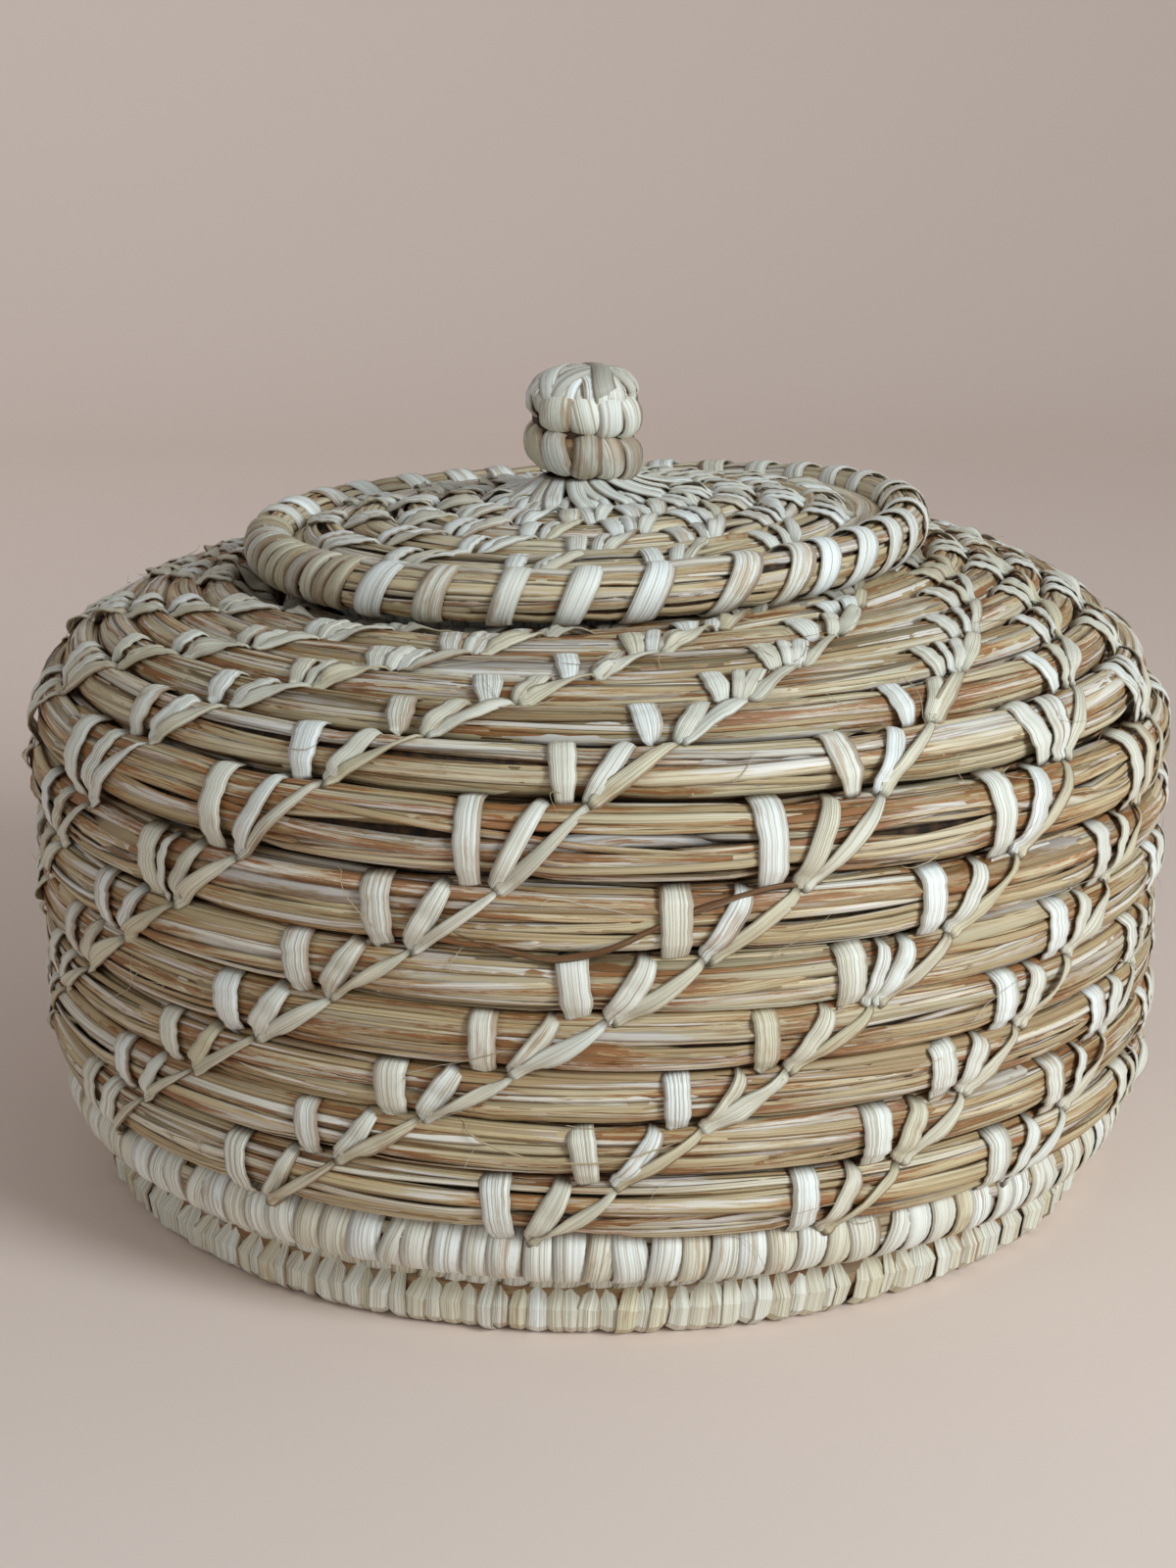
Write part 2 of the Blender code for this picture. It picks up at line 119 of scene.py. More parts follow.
# The turns from which and to which each bundle is wound, and how far a ring's ends overlap
SEAM_OVERLAP = 0.03
RING_SPAN = (-SEAM_OVERLAP, 1.0 + SEAM_OVERLAP)
WALL_SPAN = (-0.02, WALL_TURNS)
BAND_SPAN = (BAND_START_TURN, 0.0)
BAND_THIN_SPAN = (-1.8, -0.94)
BASE_SPAN = (-BASE_LOOPS, 0.86)
LID_SPAN = (-0.88, LID_LOOPS)
KNOB_SPAN = (-0.125, 1.62)
RING_CLIMB = 1e-6

# Half sizes of the bundles: depth outwards and half along the wall
BUNDLE_DEPTH_SHARE = 1.10
THIN_START_SHARE = 0.03
FOOT_DEPTH = 0.0061
FOOT_HALF = 0.0058
BASE_DEPTH = 0.0054
LID_DEPTH = 0.0045
LID_RIM_HALF = 0.0052
SEAT_HALF = 0.0037
KNOB_DEPTH = 0.0036
KNOB_HALF = 0.0042

# How square a bundle or dome is across: 2 is an ellipse
BUNDLE_POWER = 2.9
WRAPPED_POWER = 2.2
RIM_POWER = 2.1
ROUND_POWER = 2.0
DOME_POWER = 2.6

# How the stitches draw a bundle in, and how deep a strap sinks between two courses
PINCH_DEPTH = 0.11
PINCH_REACH = 0.0042
STITCH_NEARNESS = 0.005
STRAP_PINCH_SHARE = 0.4
GROOVE_FLOOR = 0.66

# Straws: shape, overlap, sway, the dip at their ends, and those that cross their neighbours
STRAW_FLATNESS = 0.32
STRAW_SPREAD = 0.38
STRAW_OVERLAP = 0.014
STRAW_LEAST = 0.02
STRAW_SWAYS = (0.16, 0.07)
STRAW_SUNK = 0.00036
STRAW_DIP = 0.0012
STRAW_DIP_REACH = 0.012
STRAIGHT_DRIFT = 0.5
CROSSING_DRIFT = 2.1
CROSSING_CHANCE = 0.58
CROSSING_LIFT = 0.00012
# The visible sides of a bundle in degrees round it: 0 is outwards
OUTER_ARC = (-84, 84)
INNER_ARC = (98, 262)
ARC_SAMPLES = 721

# Palm strips: heights over the courses, how far their ends dive, how much they are crowned, the
# half size of a course that takes a full stitch, and the share of a strip that is hidden, which
# is painted with shade
STRAP_LIFT = 0.00080
ARM_LIFT = 0.00085
STRAND_LIFT = 0.0010
STITCH_DIVE = 0.0024
STRAND_DIVE = 0.0011
STRAP_CROWN = 0.00026
ARM_CROWN = 0.00034
STRIP_CROWN = 0.0003
STRIP_THICKNESS = 0.00028
FULL_STITCH_HALF = 0.0052
HIDDEN_END = 0.06
# Stitches under the rim get painted shadow from this turn on
SHADED_START_TURN = 12.3
SHADED_TURNS = 0.4
SHADED_DEPTH = 0.55
# Straws and strips each have a number below this, which sets their own pattern
SEEDS = 90.0

# Stitches of the wall: degrees from the front on the first course, and the step on each next one
WALL_CHAINS = (
    (-176.0, 8.0), (-152.0, 8.0), (-128.0, 8.0), (-106.0, 8.0), (-85.8, 8.3), (-59.0, 8.0),
    (-35.0, 8.3), (-8.8, 7.8), (18.4, 7.0), (40.0, 7.5), (64.0, 8.0), (88.0, 8.0),
    (112.0, 8.0), (136.0, 8.0), (160.0, 8.0),
)
STITCH_COURSES = 14
LAST_STITCH_TURN = 13.85
# Chains of stitches on the lid, and the same step for all of them
LID_CHAINS = 13
LID_CHAIN_SHIFT = 12.0
# Wraps of the lid's rim: degrees from the front, how many are behind, and where they lie packed
RIM_WRAPS = (
    -90.0, -84.5, -79.5, -74.5, -70.0, -66.0, -62.0, -58.0, -54.0, -50.0, -46.5, -43.0,
    -35.0, -24.2, -12.3, -1.2, 10.1, 24.0, 34.7, 41.3, 49.9, 59.0, 67.0,
)
RIM_WRAPS_BEHIND = 18
PACKED_WRAPS = (-95.0, -40.0)
# Loose strands: degrees from the front, course and millimetres off the wall at each place
BROWN_STRAND = (
    (-14.3, 5.43, 0.2), (-11.0, 5.22, 0.8), (-7.5, 4.97, 1.3), (-4.0, 4.85, 1.6),
    (-1.0, 4.98, 1.7), (2.0, 5.24, 1.5), (4.6, 5.46, 0.5), (6.2, 5.58, -0.5),
    (8.2, 5.68, -0.5), (9.8, 5.78, 0.4), (12.0, 5.90, 1.1), (14.5, 5.98, 0.5),
    (17.0, 5.98, 0.4), (19.0, 5.93, 0.8), (21.0, 5.97, 0.2),
)
PALE_STRAND = (
    (-12.5, 2.1, 0.3), (-11.0, 1.75, 1.2), (-5.0, 1.45, 1.6), (1.0, 1.45, 1.5), (8.0, 1.85, 0.6),
)
BROWN_STRAND_WIDTH = 0.0013
PALE_STRAND_WIDTH = 0.0004
HAIRS = 240

# Room
GROUND_LEFT = -3.0
GROUND_WIDTH = 6.0
GROUND_FRONT = -1.6
GROUND_BACK = 1.0
CORNER_RADIUS = 0.5
BACKDROP_RISE = 1.8
ROOM_LIGHT = 0.34
ROOM_TINT = (0.85, 0.93, 1.0)
# Lamps: name, place, size, power, tint and what each is aimed at
BASKET_MIDDLE = (0.0, 0.0, 0.07)
LAMPS = (
    ("window", (0.72, -0.68, 0.56), 0.45, 9.4, (0.83, 0.93, 1.0), BASKET_MIDDLE),
    ("fill", (-0.7, -0.8, 0.5), 0.8, 1.1, (0.90, 0.96, 1.0), BASKET_MIDDLE),
    ("backdrop_light", (-0.6, 0.45, 0.9), 0.6, 2.6, (0.88, 0.94, 1.0), (-0.5, 1.5, 0.45)),
)
# Camera, whose first angle is level less how far it looks down
CAMERA_PLACE = (0.0, -0.580, 0.2388)
CAMERA_DEGREES = (90.0 - 15.49, 0.15, 0.19)
CAMERA_LENS = 63.79
CAMERA_SENSOR = 36.0
CAMERA_NEAREST = 0.01


def smooth_step(value):
    """0 at 0 and below, 1 at 1 and above, and smooth between."""
    value = np.clip(value, 0.0, 1.0)
    return value * value * (3.0 - 2.0 * value)


def unit(vectors):
    return vectors / np.maximum(np.linalg.norm(vectors, axis=-1, keepdims=True), TINY ** 2)


def rounded(value, power):
    """Bends a sine or cosine so that a circle becomes a plumper, squarer loop."""
    return np.sign(value) * np.abs(value) ** (2.0 / power)


def gradient(line):
    """The way along a line at each of its points."""
    return unit(np.gradient(line, axis=0))


def join(*values):
    """Rows of points, colours or marks from their columns."""
    return np.stack(np.broadcast_arrays(*values), axis=-1)


def walk(line):
    """How far along a line each of its points lies."""
    steps = np.linalg.norm(np.diff(line, axis=0), axis=1)
    return np.concatenate([[0.0], np.cumsum(steps)])


class Outline:
    """A smooth outline through a few places, read by course number."""

    STEPS = 24

    def __init__(self, places, widths, first_turn):
        places = np.array(places)
        before_first = 2 * places[:1] - places[1:2]
        after_last = 2 * places[-1:] - places[-2:-1]
        ends = np.vstack([before_first, places, after_last])
        part = np.arange(self.STEPS)[:, None] / self.STEPS
        dense = []
        for index in range(len(places) - 1):
            before, here, there, after = ends[index:index + 4]
            swing = (there - before) * part
            bend = (before * 2 - here * 5 + there * 4 - after) * part ** 2
            turn = (here * 3 - before - there * 3 + after) * part ** 3
            dense.append(here + (swing + bend + turn) / 2)
        dense.append(places[-1:])
        self.dense = np.vstack(dense)
        self.walked = walk(self.dense)
        marks = np.concatenate([[0.0], np.cumsum(widths)])
        scale = self.walked[-1] / marks[-1]
        self.turn_marks = first_turn + np.arange(len(marks))
        self.walk_marks = marks * scale
        self.middle_marks = first_turn + 0.5 + np.arange(len(widths))
        self.widths = np.array(widths) * scale

    def width(self, turn):
        return np.interp(turn, self.middle_marks, self.widths)

    def __call__(self, turn):
        far = np.interp(turn, self.turn_marks, self.walk_marks)
        radius = np.interp(far, self.walked, self.dense[:, 0])
        height = np.interp(far, self.walked, self.dense[:, 1])
        return join(radius, height)


class Winding:
    """A bundle wound round the axis and read by turns, which start at the back.

    outline gives its radius and height, and depth and half its size outwards and along the wall.
    hand is -1 for a coil that runs clockwise seen from above. settle moves its points to where
    the piece lies, and pinches holds how far the stitches draw it in at each turn.
    """

    SAMPLES = 4001
    PINCH_SAMPLES = 30001
    LOOK_AHEAD = 0.25
    ANGLE_STEP = 0.01
    COURSE_STEP = 0.13
    GROOVE_POWER = 5

    def __init__(self, span, outline, depth, half, hand=-1.0, power=BUNDLE_POWER, settle=None):
        self.span = span
        self.outline = outline
        self.depth = depth
        self.half = half
        self.hand = hand
        self.power = power
        self.settle = settle or (lambda points, turn: points)
        self.pinches = None
        self.turns = np.linspace(*span, self.SAMPLES)
        radii = outline(self.turns)[:, 0]
        steps = (radii[1:] + radii[:-1]) / 2 * TAU * np.diff(self.turns)
        self.walked = np.concatenate([[0.0], np.cumsum(steps)])

    def pinch_at(self, turns, reach=PINCH_REACH):
        """The stitches draw the bundle in at these turns."""
        grid = np.linspace(*self.span, self.PINCH_SAMPLES)
        share = reach / (TAU * self.outline(grid)[:, 0])
        total = np.zeros(len(grid))
        for turn in turns:
            total += np.exp(-((grid - turn) / share) ** 2)
        self.pinches = (grid, np.minimum(total, 1.0))

    def squeeze(self, turn, share=1.0):
        """What the stitches leave of the bundle's size; share says how much of it is felt."""
        if self.pinches is None:
            return 1.0
        return 1.0 - PINCH_DEPTH * share * np.interp(turn, *self.pinches)

    def near_stitch(self, turn):
        """1 beside a stitch and 0 a few straw widths away from it."""
        if self.pinches is None:
            return np.zeros(np.shape(turn))
        reach = STITCH_NEARNESS / (TAU * self.outline(turn)[..., 0])
        places = (turn + step * reach for step in (-1, 0, 1, 2, 3))
        return sum(np.interp(place, *self.pinches) for place in places) / 3

    def heading(self, turn):
        """The angle round the axis, anticlockwise from the right."""
        return math.pi / 2 + self.hand * TAU * turn

    def put(self, heading, turn, out, side):
        """A point that lies out from the bundle's middle and side along the wall."""
        reach = self.LOOK_AHEAD
        ahead = unit(self.outline(turn + reach) - self.outline(turn - reach))
        place = self.outline(turn)
        radius = place[..., 0] + ahead[..., 1] * out + ahead[..., 0] * side
        height = place[..., 1] - ahead[..., 0] * out + ahead[..., 1] * side
        points = join(radius * np.cos(heading), radius * np.sin(heading), height)
        return self.settle(points, turn)

    def bundle(self, turn, around, lift):
        """A point on the bundle; around is 0 outwards and a quarter turn towards the next loop."""
        squeeze = self.squeeze(turn)
        out = (self.depth(turn) * squeeze + lift) * rounded(np.cos(around), self.power)
        side = (self.half(turn) * squeeze + lift) * rounded(np.sin(around), self.power)
        return self.put(self.heading(turn), turn, out, side)

    def bundle_line(self, turn, around, lift):
        """Points along the bundle and the way out of it at each."""
        line = self.bundle(turn, around, lift)
        return line, unit(self.bundle(turn, around, lift + MM) - line)

    def turn_of(self, angle, course):
        """The turn that a course has at an angle from the front."""
        return course + self.hand * angle / TAU - (1.0 if self.hand > 0 else 0.0)

    def skin(self, angle, course, lift, face):
        """A point over the courses, at an angle from the front; face is -1 for the inner side."""
        turn = self.turn_of(angle, course)
        share = np.abs(2.0 * (course - np.floor(course)) - 1.0)
        swell = (1.0 - np.minimum(share, 1.0) ** self.power) ** (1.0 / self.power)
        power = self.GROOVE_POWER
        swell = (swell ** power + GROOVE_FLOOR ** power) ** (1 / power)
        out = face * (self.depth(turn) * self.squeeze(turn, STRAP_PINCH_SHARE) * swell + lift)
        return self.put(angle - math.pi / 2, turn, out, 0.0)

    def skin_line(self, angle, course, lift, face=1.0):
        """Points over the courses and the way out of the skin at each."""
        line = self.skin(angle, course, lift, face)
        right = self.skin(angle + self.ANGLE_STEP, course, lift, face)
        left = self.skin(angle - self.ANGLE_STEP, course, lift, face)
        above = self.skin(angle, course + self.COURSE_STEP, lift, face)
        below = self.skin(angle, course - self.COURSE_STEP, lift, face)
        away = unit(np.cross(right - left, above - below))
        out = self.skin(angle, course, lift + MM, face) - line
        return line, away * np.sign((away * out).sum(axis=-1, keepdims=True))


def even_arc(winding, low, high, count):
    """Angles round the bundle that lie evenly along its skin."""
    around = np.linspace(low, high, ARC_SAMPLES)
    turn = np.full(len(around), sum(winding.span) / 2)
    out = winding.depth(turn) * rounded(np.cos(around), winding.power)
    side = winding.half(turn) * rounded(np.sin(around), winding.power)
    walked = walk(join(out, side))
    return np.interp((np.arange(count) + 0.5) / count * walked[-1], walked, around)


def constant(value):
    return lambda turn: np.full(np.shape(turn), value)


def ring_outline(radius, height):
    """One level loop, which climbs by next to nothing so that it has a way along the wall."""
    return lambda turn: join(radius, height + RING_CLIMB * np.asarray(turn))


# Places of the windings


def lean(points, turn):
    """The upper courses lean with the mouth, and the last ones drop under the rim."""
    share = smooth_step((turn - LEAN_START_TURN) / (LEAN_FULL_TURN - LEAN_START_TURN))
    moved = points.copy()
    moved[..., 0] += LEAN_SHIFT * share
    moved[..., 2] += points[..., 0] * math.tan(LEAN_ANGLE) * share
    near_rim = smooth_step((turn - RIM_GAP_START_TURN) / RIM_GAP_TURNS)
    drop = RIM_GAP_MIDDLE_SHARE - RIM_GAP_SIDE_SHARE * points[..., 0] / LID_RIM_RADIUS
    moved[..., 2] -= RIM_GAP * near_rim * drop
    return moved


def slope_foot(points, turn):
    """The foot's upper part slopes inwards."""
    radius = np.hypot(points[..., 0], points[..., 1])
    high = np.maximum(points[..., 2] - FOOT_HEIGHT - FOOT_SLOPE_START, 0.0)
    share = 1.0 - FOOT_SLOPE * high / radius
    return points * join(share, share, 1.0)


def seat_lid(points, turn=None):
    """The lid leans with the mouth, and its sides sit a little higher than its front and back."""
    x, y, z = points[..., 0], points[..., 1], points[..., 2]
    z = z + LID_WARP * (x / LID_RIM_RADIUS) ** 2 + LID_SIDE_TILT * x / LID_RIM_RADIUS
    z = z - LID_BACK_DROP * np.maximum(y / LID_RIM_RADIUS, 0.0) ** 2
    return join(
        LEAN_SHIFT + LID_SHIFT + x * math.cos(LEAN_ANGLE) - z * math.sin(LEAN_ANGLE),
        y,
        LID_HEIGHT + x * math.sin(LEAN_ANGLE) + z * math.cos(LEAN_ANGLE),
    )


WALL_OUTLINE = Outline(
    [(BODY_RADIUS * radius, SHOULDER_HEIGHT * height) for radius, height in WALL_PROFILE_SHARES],
    COURSE_WIDTH_SHARES,
    -1.0,
)


def wall_taper(turn):
    """How full the wall's bundle is; it thins out at the mouth."""
    full = smooth_step((WALL_TURNS - turn) / MOUTH_TAPER_TURNS)
    return MOUTH_TIP_SHARE + (1 - MOUTH_TIP_SHARE) * full


def wall_half(turn):
    return WALL_OUTLINE.width(turn) / 2 * wall_taper(turn)


def wall_depth(turn):
    return wall_half(turn) * BUNDLE_DEPTH_SHARE


def lid_plate_height(radius):
    return LID_DOME_RISE * (1 - (radius / LID_LAST_RADIUS) ** 2) - LID_PLATE_DROP


def start_share(turn):
    """How full a bundle is at its thin start, over the turn before its first loop."""
    return np.clip(1.0 + turn, THIN_START_SHARE, 1.0)


def lid_outline(turn):
    """The thin start of the lid's spiral fills the room between its first loop and the rim."""
    turn = np.asarray(turn)
    outer_edge = LID_LAST_RADIUS + LID_PITCH / 2
    radius = outer_edge - LID_PITCH / 2 * start_share(turn) - LID_PITCH * np.maximum(turn, 0.0)
    return join(radius, lid_plate_height(radius))


def lid_half(turn):
    return LID_PITCH / 2 * start_share(turn)


def lid_depth(turn):
    return LID_DEPTH * start_share(turn) ** 0.5


def base_outline(turn):
    """The thin end of the base's spiral fills the room between its last loop and the foot."""
    turn = np.asarray(turn)
    outer_edge = BASE_LAST_RADIUS + BASE_PITCH / 2
    radius = outer_edge - BASE_PITCH / 2 * start_share(-turn) + BASE_PITCH * np.minimum(turn, 0.0)
    return join(radius, BASE_HEIGHT)


def base_half(turn):
    return BASE_PITCH / 2 * start_share(-turn)


def base_depth(turn):
    return BASE_DEPTH * start_share(-turn) ** 0.4


def band_start_room(turn):
    """The height left for the band's thin start, between the foot and the band's own loop."""
    above, first = WALL_OUTLINE(turn + 1.0), WALL_OUTLINE(-1.0)
    return above[..., 1] - wall_half(turn + 1.0) - first[1] + wall_half(-1.0)


def band_start_outline(turn):
    """The band begins as a thin bundle on the foot, which grows under the band's own loop."""
    first = WALL_OUTLINE(-1.0)
    inward = BAND_START_INSET * smooth_step((-1.0 - turn) / BAND_START_INSET_TURNS)
    thin = join(first[0] - inward, first[1] - wall_half(-1.0) + band_start_room(turn) / 2)
    return np.where((turn < -1.0)[..., None], thin, WALL_OUTLINE(turn))


def band_start_half(turn):
    thin = np.maximum(band_start_room(turn) / 2, BAND_START_LEAST_HALF)
    return np.where(turn < -1.0, thin, wall_half(turn))


KNOB_BOTTOM = lid_plate_height(LID_START_RADIUS) + LID_CORD_RADIUS + KNOB_CORD_RADIUS + KNOB_GAP
BUN_HEIGHT = KNOB_BOTTOM + BUN_LIFT


def knob_outline(turn):
    return join(KNOB_WINDING_RADIUS, KNOB_BOTTOM + KNOB_PITCH * turn)


wall = Winding(WALL_SPAN, WALL_OUTLINE, wall_depth, wall_half, settle=lean)
band = Winding(BAND_SPAN, WALL_OUTLINE, wall_depth, wall_half, power=WRAPPED_POWER)
band_start = Winding(
    BAND_THIN_SPAN, band_start_outline, band_start_half, band_start_half, power=WRAPPED_POWER,
)
foot = Winding(
    RING_SPAN, ring_outline(FOOT_RADIUS, FOOT_HEIGHT), constant(FOOT_DEPTH), constant(FOOT_HALF),
    settle=slope_foot,
)
base = Winding(BASE_SPAN, base_outline, base_depth, base_half)
lid_rim = Winding(
    RING_SPAN, ring_outline(LID_RIM_RADIUS, 0.0), constant(LID_RIM_CORD_RADIUS),
    constant(LID_RIM_HALF), power=RIM_POWER, settle=seat_lid,
)
lid_plate = Winding(LID_SPAN, lid_outline, lid_depth, lid_half, hand=1.0, settle=seat_lid)
lid_seat = Winding(
    RING_SPAN, ring_outline(SEAT_RADIUS, lid_plate_height(SEAT_RADIUS) - SEAT_DROP),
    constant(SEAT_HALF), constant(SEAT_HALF), power=ROUND_POWER, settle=seat_lid,
)
knob = Winding(
    KNOB_SPAN, knob_outline, constant(KNOB_DEPTH), constant(KNOB_HALF), power=WRAPPED_POWER,
    settle=seat_lid,
)


# Materials


class Wire:
    """A number or colour on its way through a material, with Python's operators for its maths."""

    def __init__(self, finish, socket):
        self.finish = finish
        self.socket = socket

    def maths(self, operation, *values):
        inputs = dict(enumerate(values))
        made = self.finish.node("ShaderNodeMath", {"operation": operation}, inputs)
        return Wire(self.finish, made.outputs[0])

    def __add__(self, other):
        return self.maths("ADD", self, other)

    def __radd__(self, other):
        return self.maths("ADD", other, self)

    def __sub__(self, other):
        return self.maths("SUBTRACT", self, other)

    def __rsub__(self, other):
        return self.maths("SUBTRACT", other, self)

    def __mul__(self, other):
        return self.maths("MULTIPLY", self, other)

    def __rmul__(self, other):
        return self.maths("MULTIPLY", other, self)

    def __abs__(self):
        return self.maths("ABSOLUTE", self)

    def step(self, low, high):
        """0 below low, 1 above high and smooth between."""
        inputs = {"Value": self, "From Min": low, "From Max": high}
        made = self.finish.node("ShaderNodeMapRange", {"interpolation_type": "SMOOTHSTEP"}, inputs)
        return Wire(self.finish, made.outputs["Result"])


class Tree:
    """The nodes of the world or of a material, and the shader that they feed."""

    def __init__(self, owner, shader):
        owner.use_nodes = True
        self.tree = owner.node_tree
        self.shader = self.tree.nodes[shader]

    def node(self, kind, settings=None, inputs=None):
        made = self.tree.nodes.new(kind)
        for key, value in (settings or {}).items():
            setattr(made, key, value)
        for key, value in (inputs or {}).items():
            if isinstance(value, Wire):
                self.tree.links.new(value.socket, made.inputs[key])
            else:
                made.inputs[key].default_value = value
        return made

    def feed(self, key, wire):
        self.tree.links.new(wire.socket, self.shader.inputs[key])

    def mix(self, share, first, second):
        """A colour between two colours."""
        made = self.node("ShaderNodeMix", {"data_type": "RGBA"}, {0: share, 6: first, 7: second})
        return Wire(self, made.outputs[2])

    def coat(self, body, *coats):
        """Colours laid over body one after another, each where its own share says."""
        for share, tint in coats:
            body = self.mix(share, body, tint)
        return body


class Finish(Tree):
    """A material that is put together from nodes."""

    def __init__(self, name, roughness):
        self.material = bpy.data.materials.new(name)
        super().__init__(self.material, "Principled BSDF")
        self.shader.inputs["Roughness"].default_value = roughness
        self.shader.inputs["Metallic"].default_value = 0.0

    def parts(self, attribute):
        """The three numbers of a piece's attribute."""
        source = self.node("ShaderNodeAttribute", {"attribute_name": attribute})
        split = self.node("ShaderNodeSeparateXYZ", inputs={0: Wire(self, source.outputs["Vector"])})
        return [Wire(self, split.outputs[index]) for index in range(3)]

    def place(self):
        source = self.node("ShaderNodeTexCoord")
        return Wire(self, source.outputs["Object"])

    def vector(self, x, y, z):
        made = self.node("ShaderNodeCombineXYZ", inputs={0: x, 1: y, 2: z})
        return Wire(self, made.outputs[0])

    def noise(self, vector, scale=1.0, detail=3.0, roughness=0.55):
        inputs = {"Vector": vector, "Scale": scale, "Detail": detail, "Roughness": roughness}
        made = self.node("ShaderNodeTexNoise", inputs=inputs)
        return Wire(self, made.outputs["Fac"])

    def bump(self, height, strength, distance):
        inputs = {"Strength": strength, "Distance": distance, "Height": height}
        made = self.node("ShaderNodeBump", inputs=inputs)
        self.feed("Normal", Wire(self, made.outputs["Normal"]))


def colour(red, green, blue):
    """A colour as seen on screen, turned into the linear values that a material takes."""
    return tuple((value / 255) ** 2.2 for value in (red, green, blue)) + (1.0,)


# Tones of the straw, the palm strips, the core (painted shade), the floor and the room behind
STRAW_WHITE = colour(230, 224, 210)
STRAW_CREAM = colour(219, 204, 169)
STRAW_YELLOW = colour(203, 183, 142)
STRAW_TAN = colour(166, 138, 100)
STRAW_DRAB = colour(180, 165, 126)
# Painted highlight: the pale sheen laid into the straws' colour
STRAW_PAINTED_SHEEN = colour(232, 229, 227)
STRAW_STAIN = colour(178, 134, 82)
STRAW_RUST = colour(140, 82, 34)
STRAW_STREAK = colour(124, 94, 56)
# Painted shade at the edges of the blades
STRAW_EDGE_SHADE = colour(92, 70, 44)
# Painted shade, and the own darker brown of a few strands
STRAW_SHADE_AND_BROWN = colour(62, 46, 28)
PALM_WHITE = colour(242, 245, 239)
PALM_CREAM = colour(216, 206, 174)
PALM_LINE = colour(178, 163, 128)
PALM_THREAD = colour(150, 134, 100)
PALM_STAIN = colour(170, 130, 86)
PALM_EDGE = colour(134, 108, 74)
PALM_BARK = colour(136, 100, 64)
# Painted shade on palm strips, and the own darker brown of some wraps
PALM_SHADE_AND_BROWN = colour(84, 64, 42)
# Painted shade: near-black and brown for the bundle's core between the straws
CORE_SHADE_DARK = colour(34, 24, 14)
CORE_SHADE_BROWN = colour(84, 60, 34)
GROUND_TONE = colour(236, 215, 201)
ROOM_TONE = colour(184, 172, 165)


def grass_finish():
    """Dry straw: fine lines along each blade, orange-brown blotches, painted sheen and painted
    shade.
    """
    finish = Finish("grass_straw", roughness=0.5)
    along, across, seed = finish.parts("grain")
    tone, rust, painted_shade_and_brown = finish.parts("shade")
    lines = finish.noise(finish.vector(along * 18, across * 3.6, seed * 7.3), detail=4.0)
    spots = finish.vector(along * 52, across * 1.5, seed * 3.1)
    mottle = finish.noise(spots, detail=7.0, roughness=0.72)
    drift = finish.noise(finish.vector(along * 15, across * 0.3, seed * 5.7), detail=2.0)
    # Pale patches with ragged edges along the straws: painted sheen
    painted_sheen = (drift + (mottle - 0.5) * 0.4).step(0.45, 0.37)
    rusty = mottle + rust * 0.25
    stain = rusty.step(0.60, 0.75)
    body = finish.coat(
        STRAW_WHITE,
        (tone.step(0.0, 0.30), STRAW_CREAM),
        (tone.step(0.25, 0.65), STRAW_YELLOW),
        (tone.step(0.65, 1.0), STRAW_TAN),
        (drift.step(0.46, 0.70) * 0.5, STRAW_DRAB),
        (painted_sheen * 0.6, STRAW_PAINTED_SHEEN),
        (stain * 0.62, STRAW_STAIN),
        (rusty.step(0.71, 0.77) * 0.8, STRAW_RUST),
        (lines.step(0.49, 0.61) * 0.55, STRAW_STREAK),
        # Painted shade: each blade darker towards its edges, where it meets its neighbours
        (abs(across).step(0.66, 1.0) * 0.6, STRAW_EDGE_SHADE),
        # Painted shade where straws dip under others, lie low or form a core, and the own brown of
        # a few strands
        (painted_shade_and_brown * 0.8, STRAW_SHADE_AND_BROWN),
    )
    finish.feed("Base Color", body)
    finish.feed("Roughness", 0.34 + lines * 0.3 + stain * 0.12)
    finish.bump(lines + stain * 0.2, strength=0.6, distance=0.0003)
    return finish.material


def palm_finish():
    """Bleached palm strip: cream, with fine grey-brown fibres, a brown edge here and there, and
    painted shade.
    """
    finish = Finish("palm_strip", roughness=0.5)
    along, across, seed = finish.parts("grain")
    tone, rust, painted_shade_and_brown = finish.parts("shade")
    lines = finish.noise(finish.vector(along * 26, across * 5.4, seed * 7.3), detail=4.0)
    threads = finish.noise(finish.vector(along * 14, across * 9.5, seed * 2.3), detail=2.0)
    spots = finish.vector(along * 110, across * 1.6, seed * 3.1)
    mottle = finish.noise(spots, detail=5.0, roughness=0.6)
    stain = (mottle + lines * 0.3 + rust * 0.22).step(0.84, 1.0)
    edge = abs(across + (mottle - 0.5) * 0.3).step(0.76, 1.0)
    bark = (across * -1.0 + (mottle - 0.5) * 0.5).step(0.56, 0.74) * rust.step(0.65, 0.80)
    body = finish.coat(
        PALM_WHITE,
        (tone, PALM_CREAM),
        (lines.step(0.48, 0.72) * 0.55, PALM_LINE),
        (threads.step(0.50, 0.62) * 0.6, PALM_THREAD),
        (stain * 0.5, PALM_STAIN),
        (edge * 0.5, PALM_EDGE),
        (bark * 0.55, PALM_BARK),
        # Painted shade on hidden strip ends and under the rim, and the own darker brown of some
        # wraps
        (painted_shade_and_brown * 0.85, PALM_SHADE_AND_BROWN),
    )
    finish.feed("Base Color", body)
    finish.feed("Roughness", 0.38 + lines * 0.3)
    finish.bump(lines * 0.8 + threads * 0.8, strength=0.8, distance=0.0003)
    return finish.material


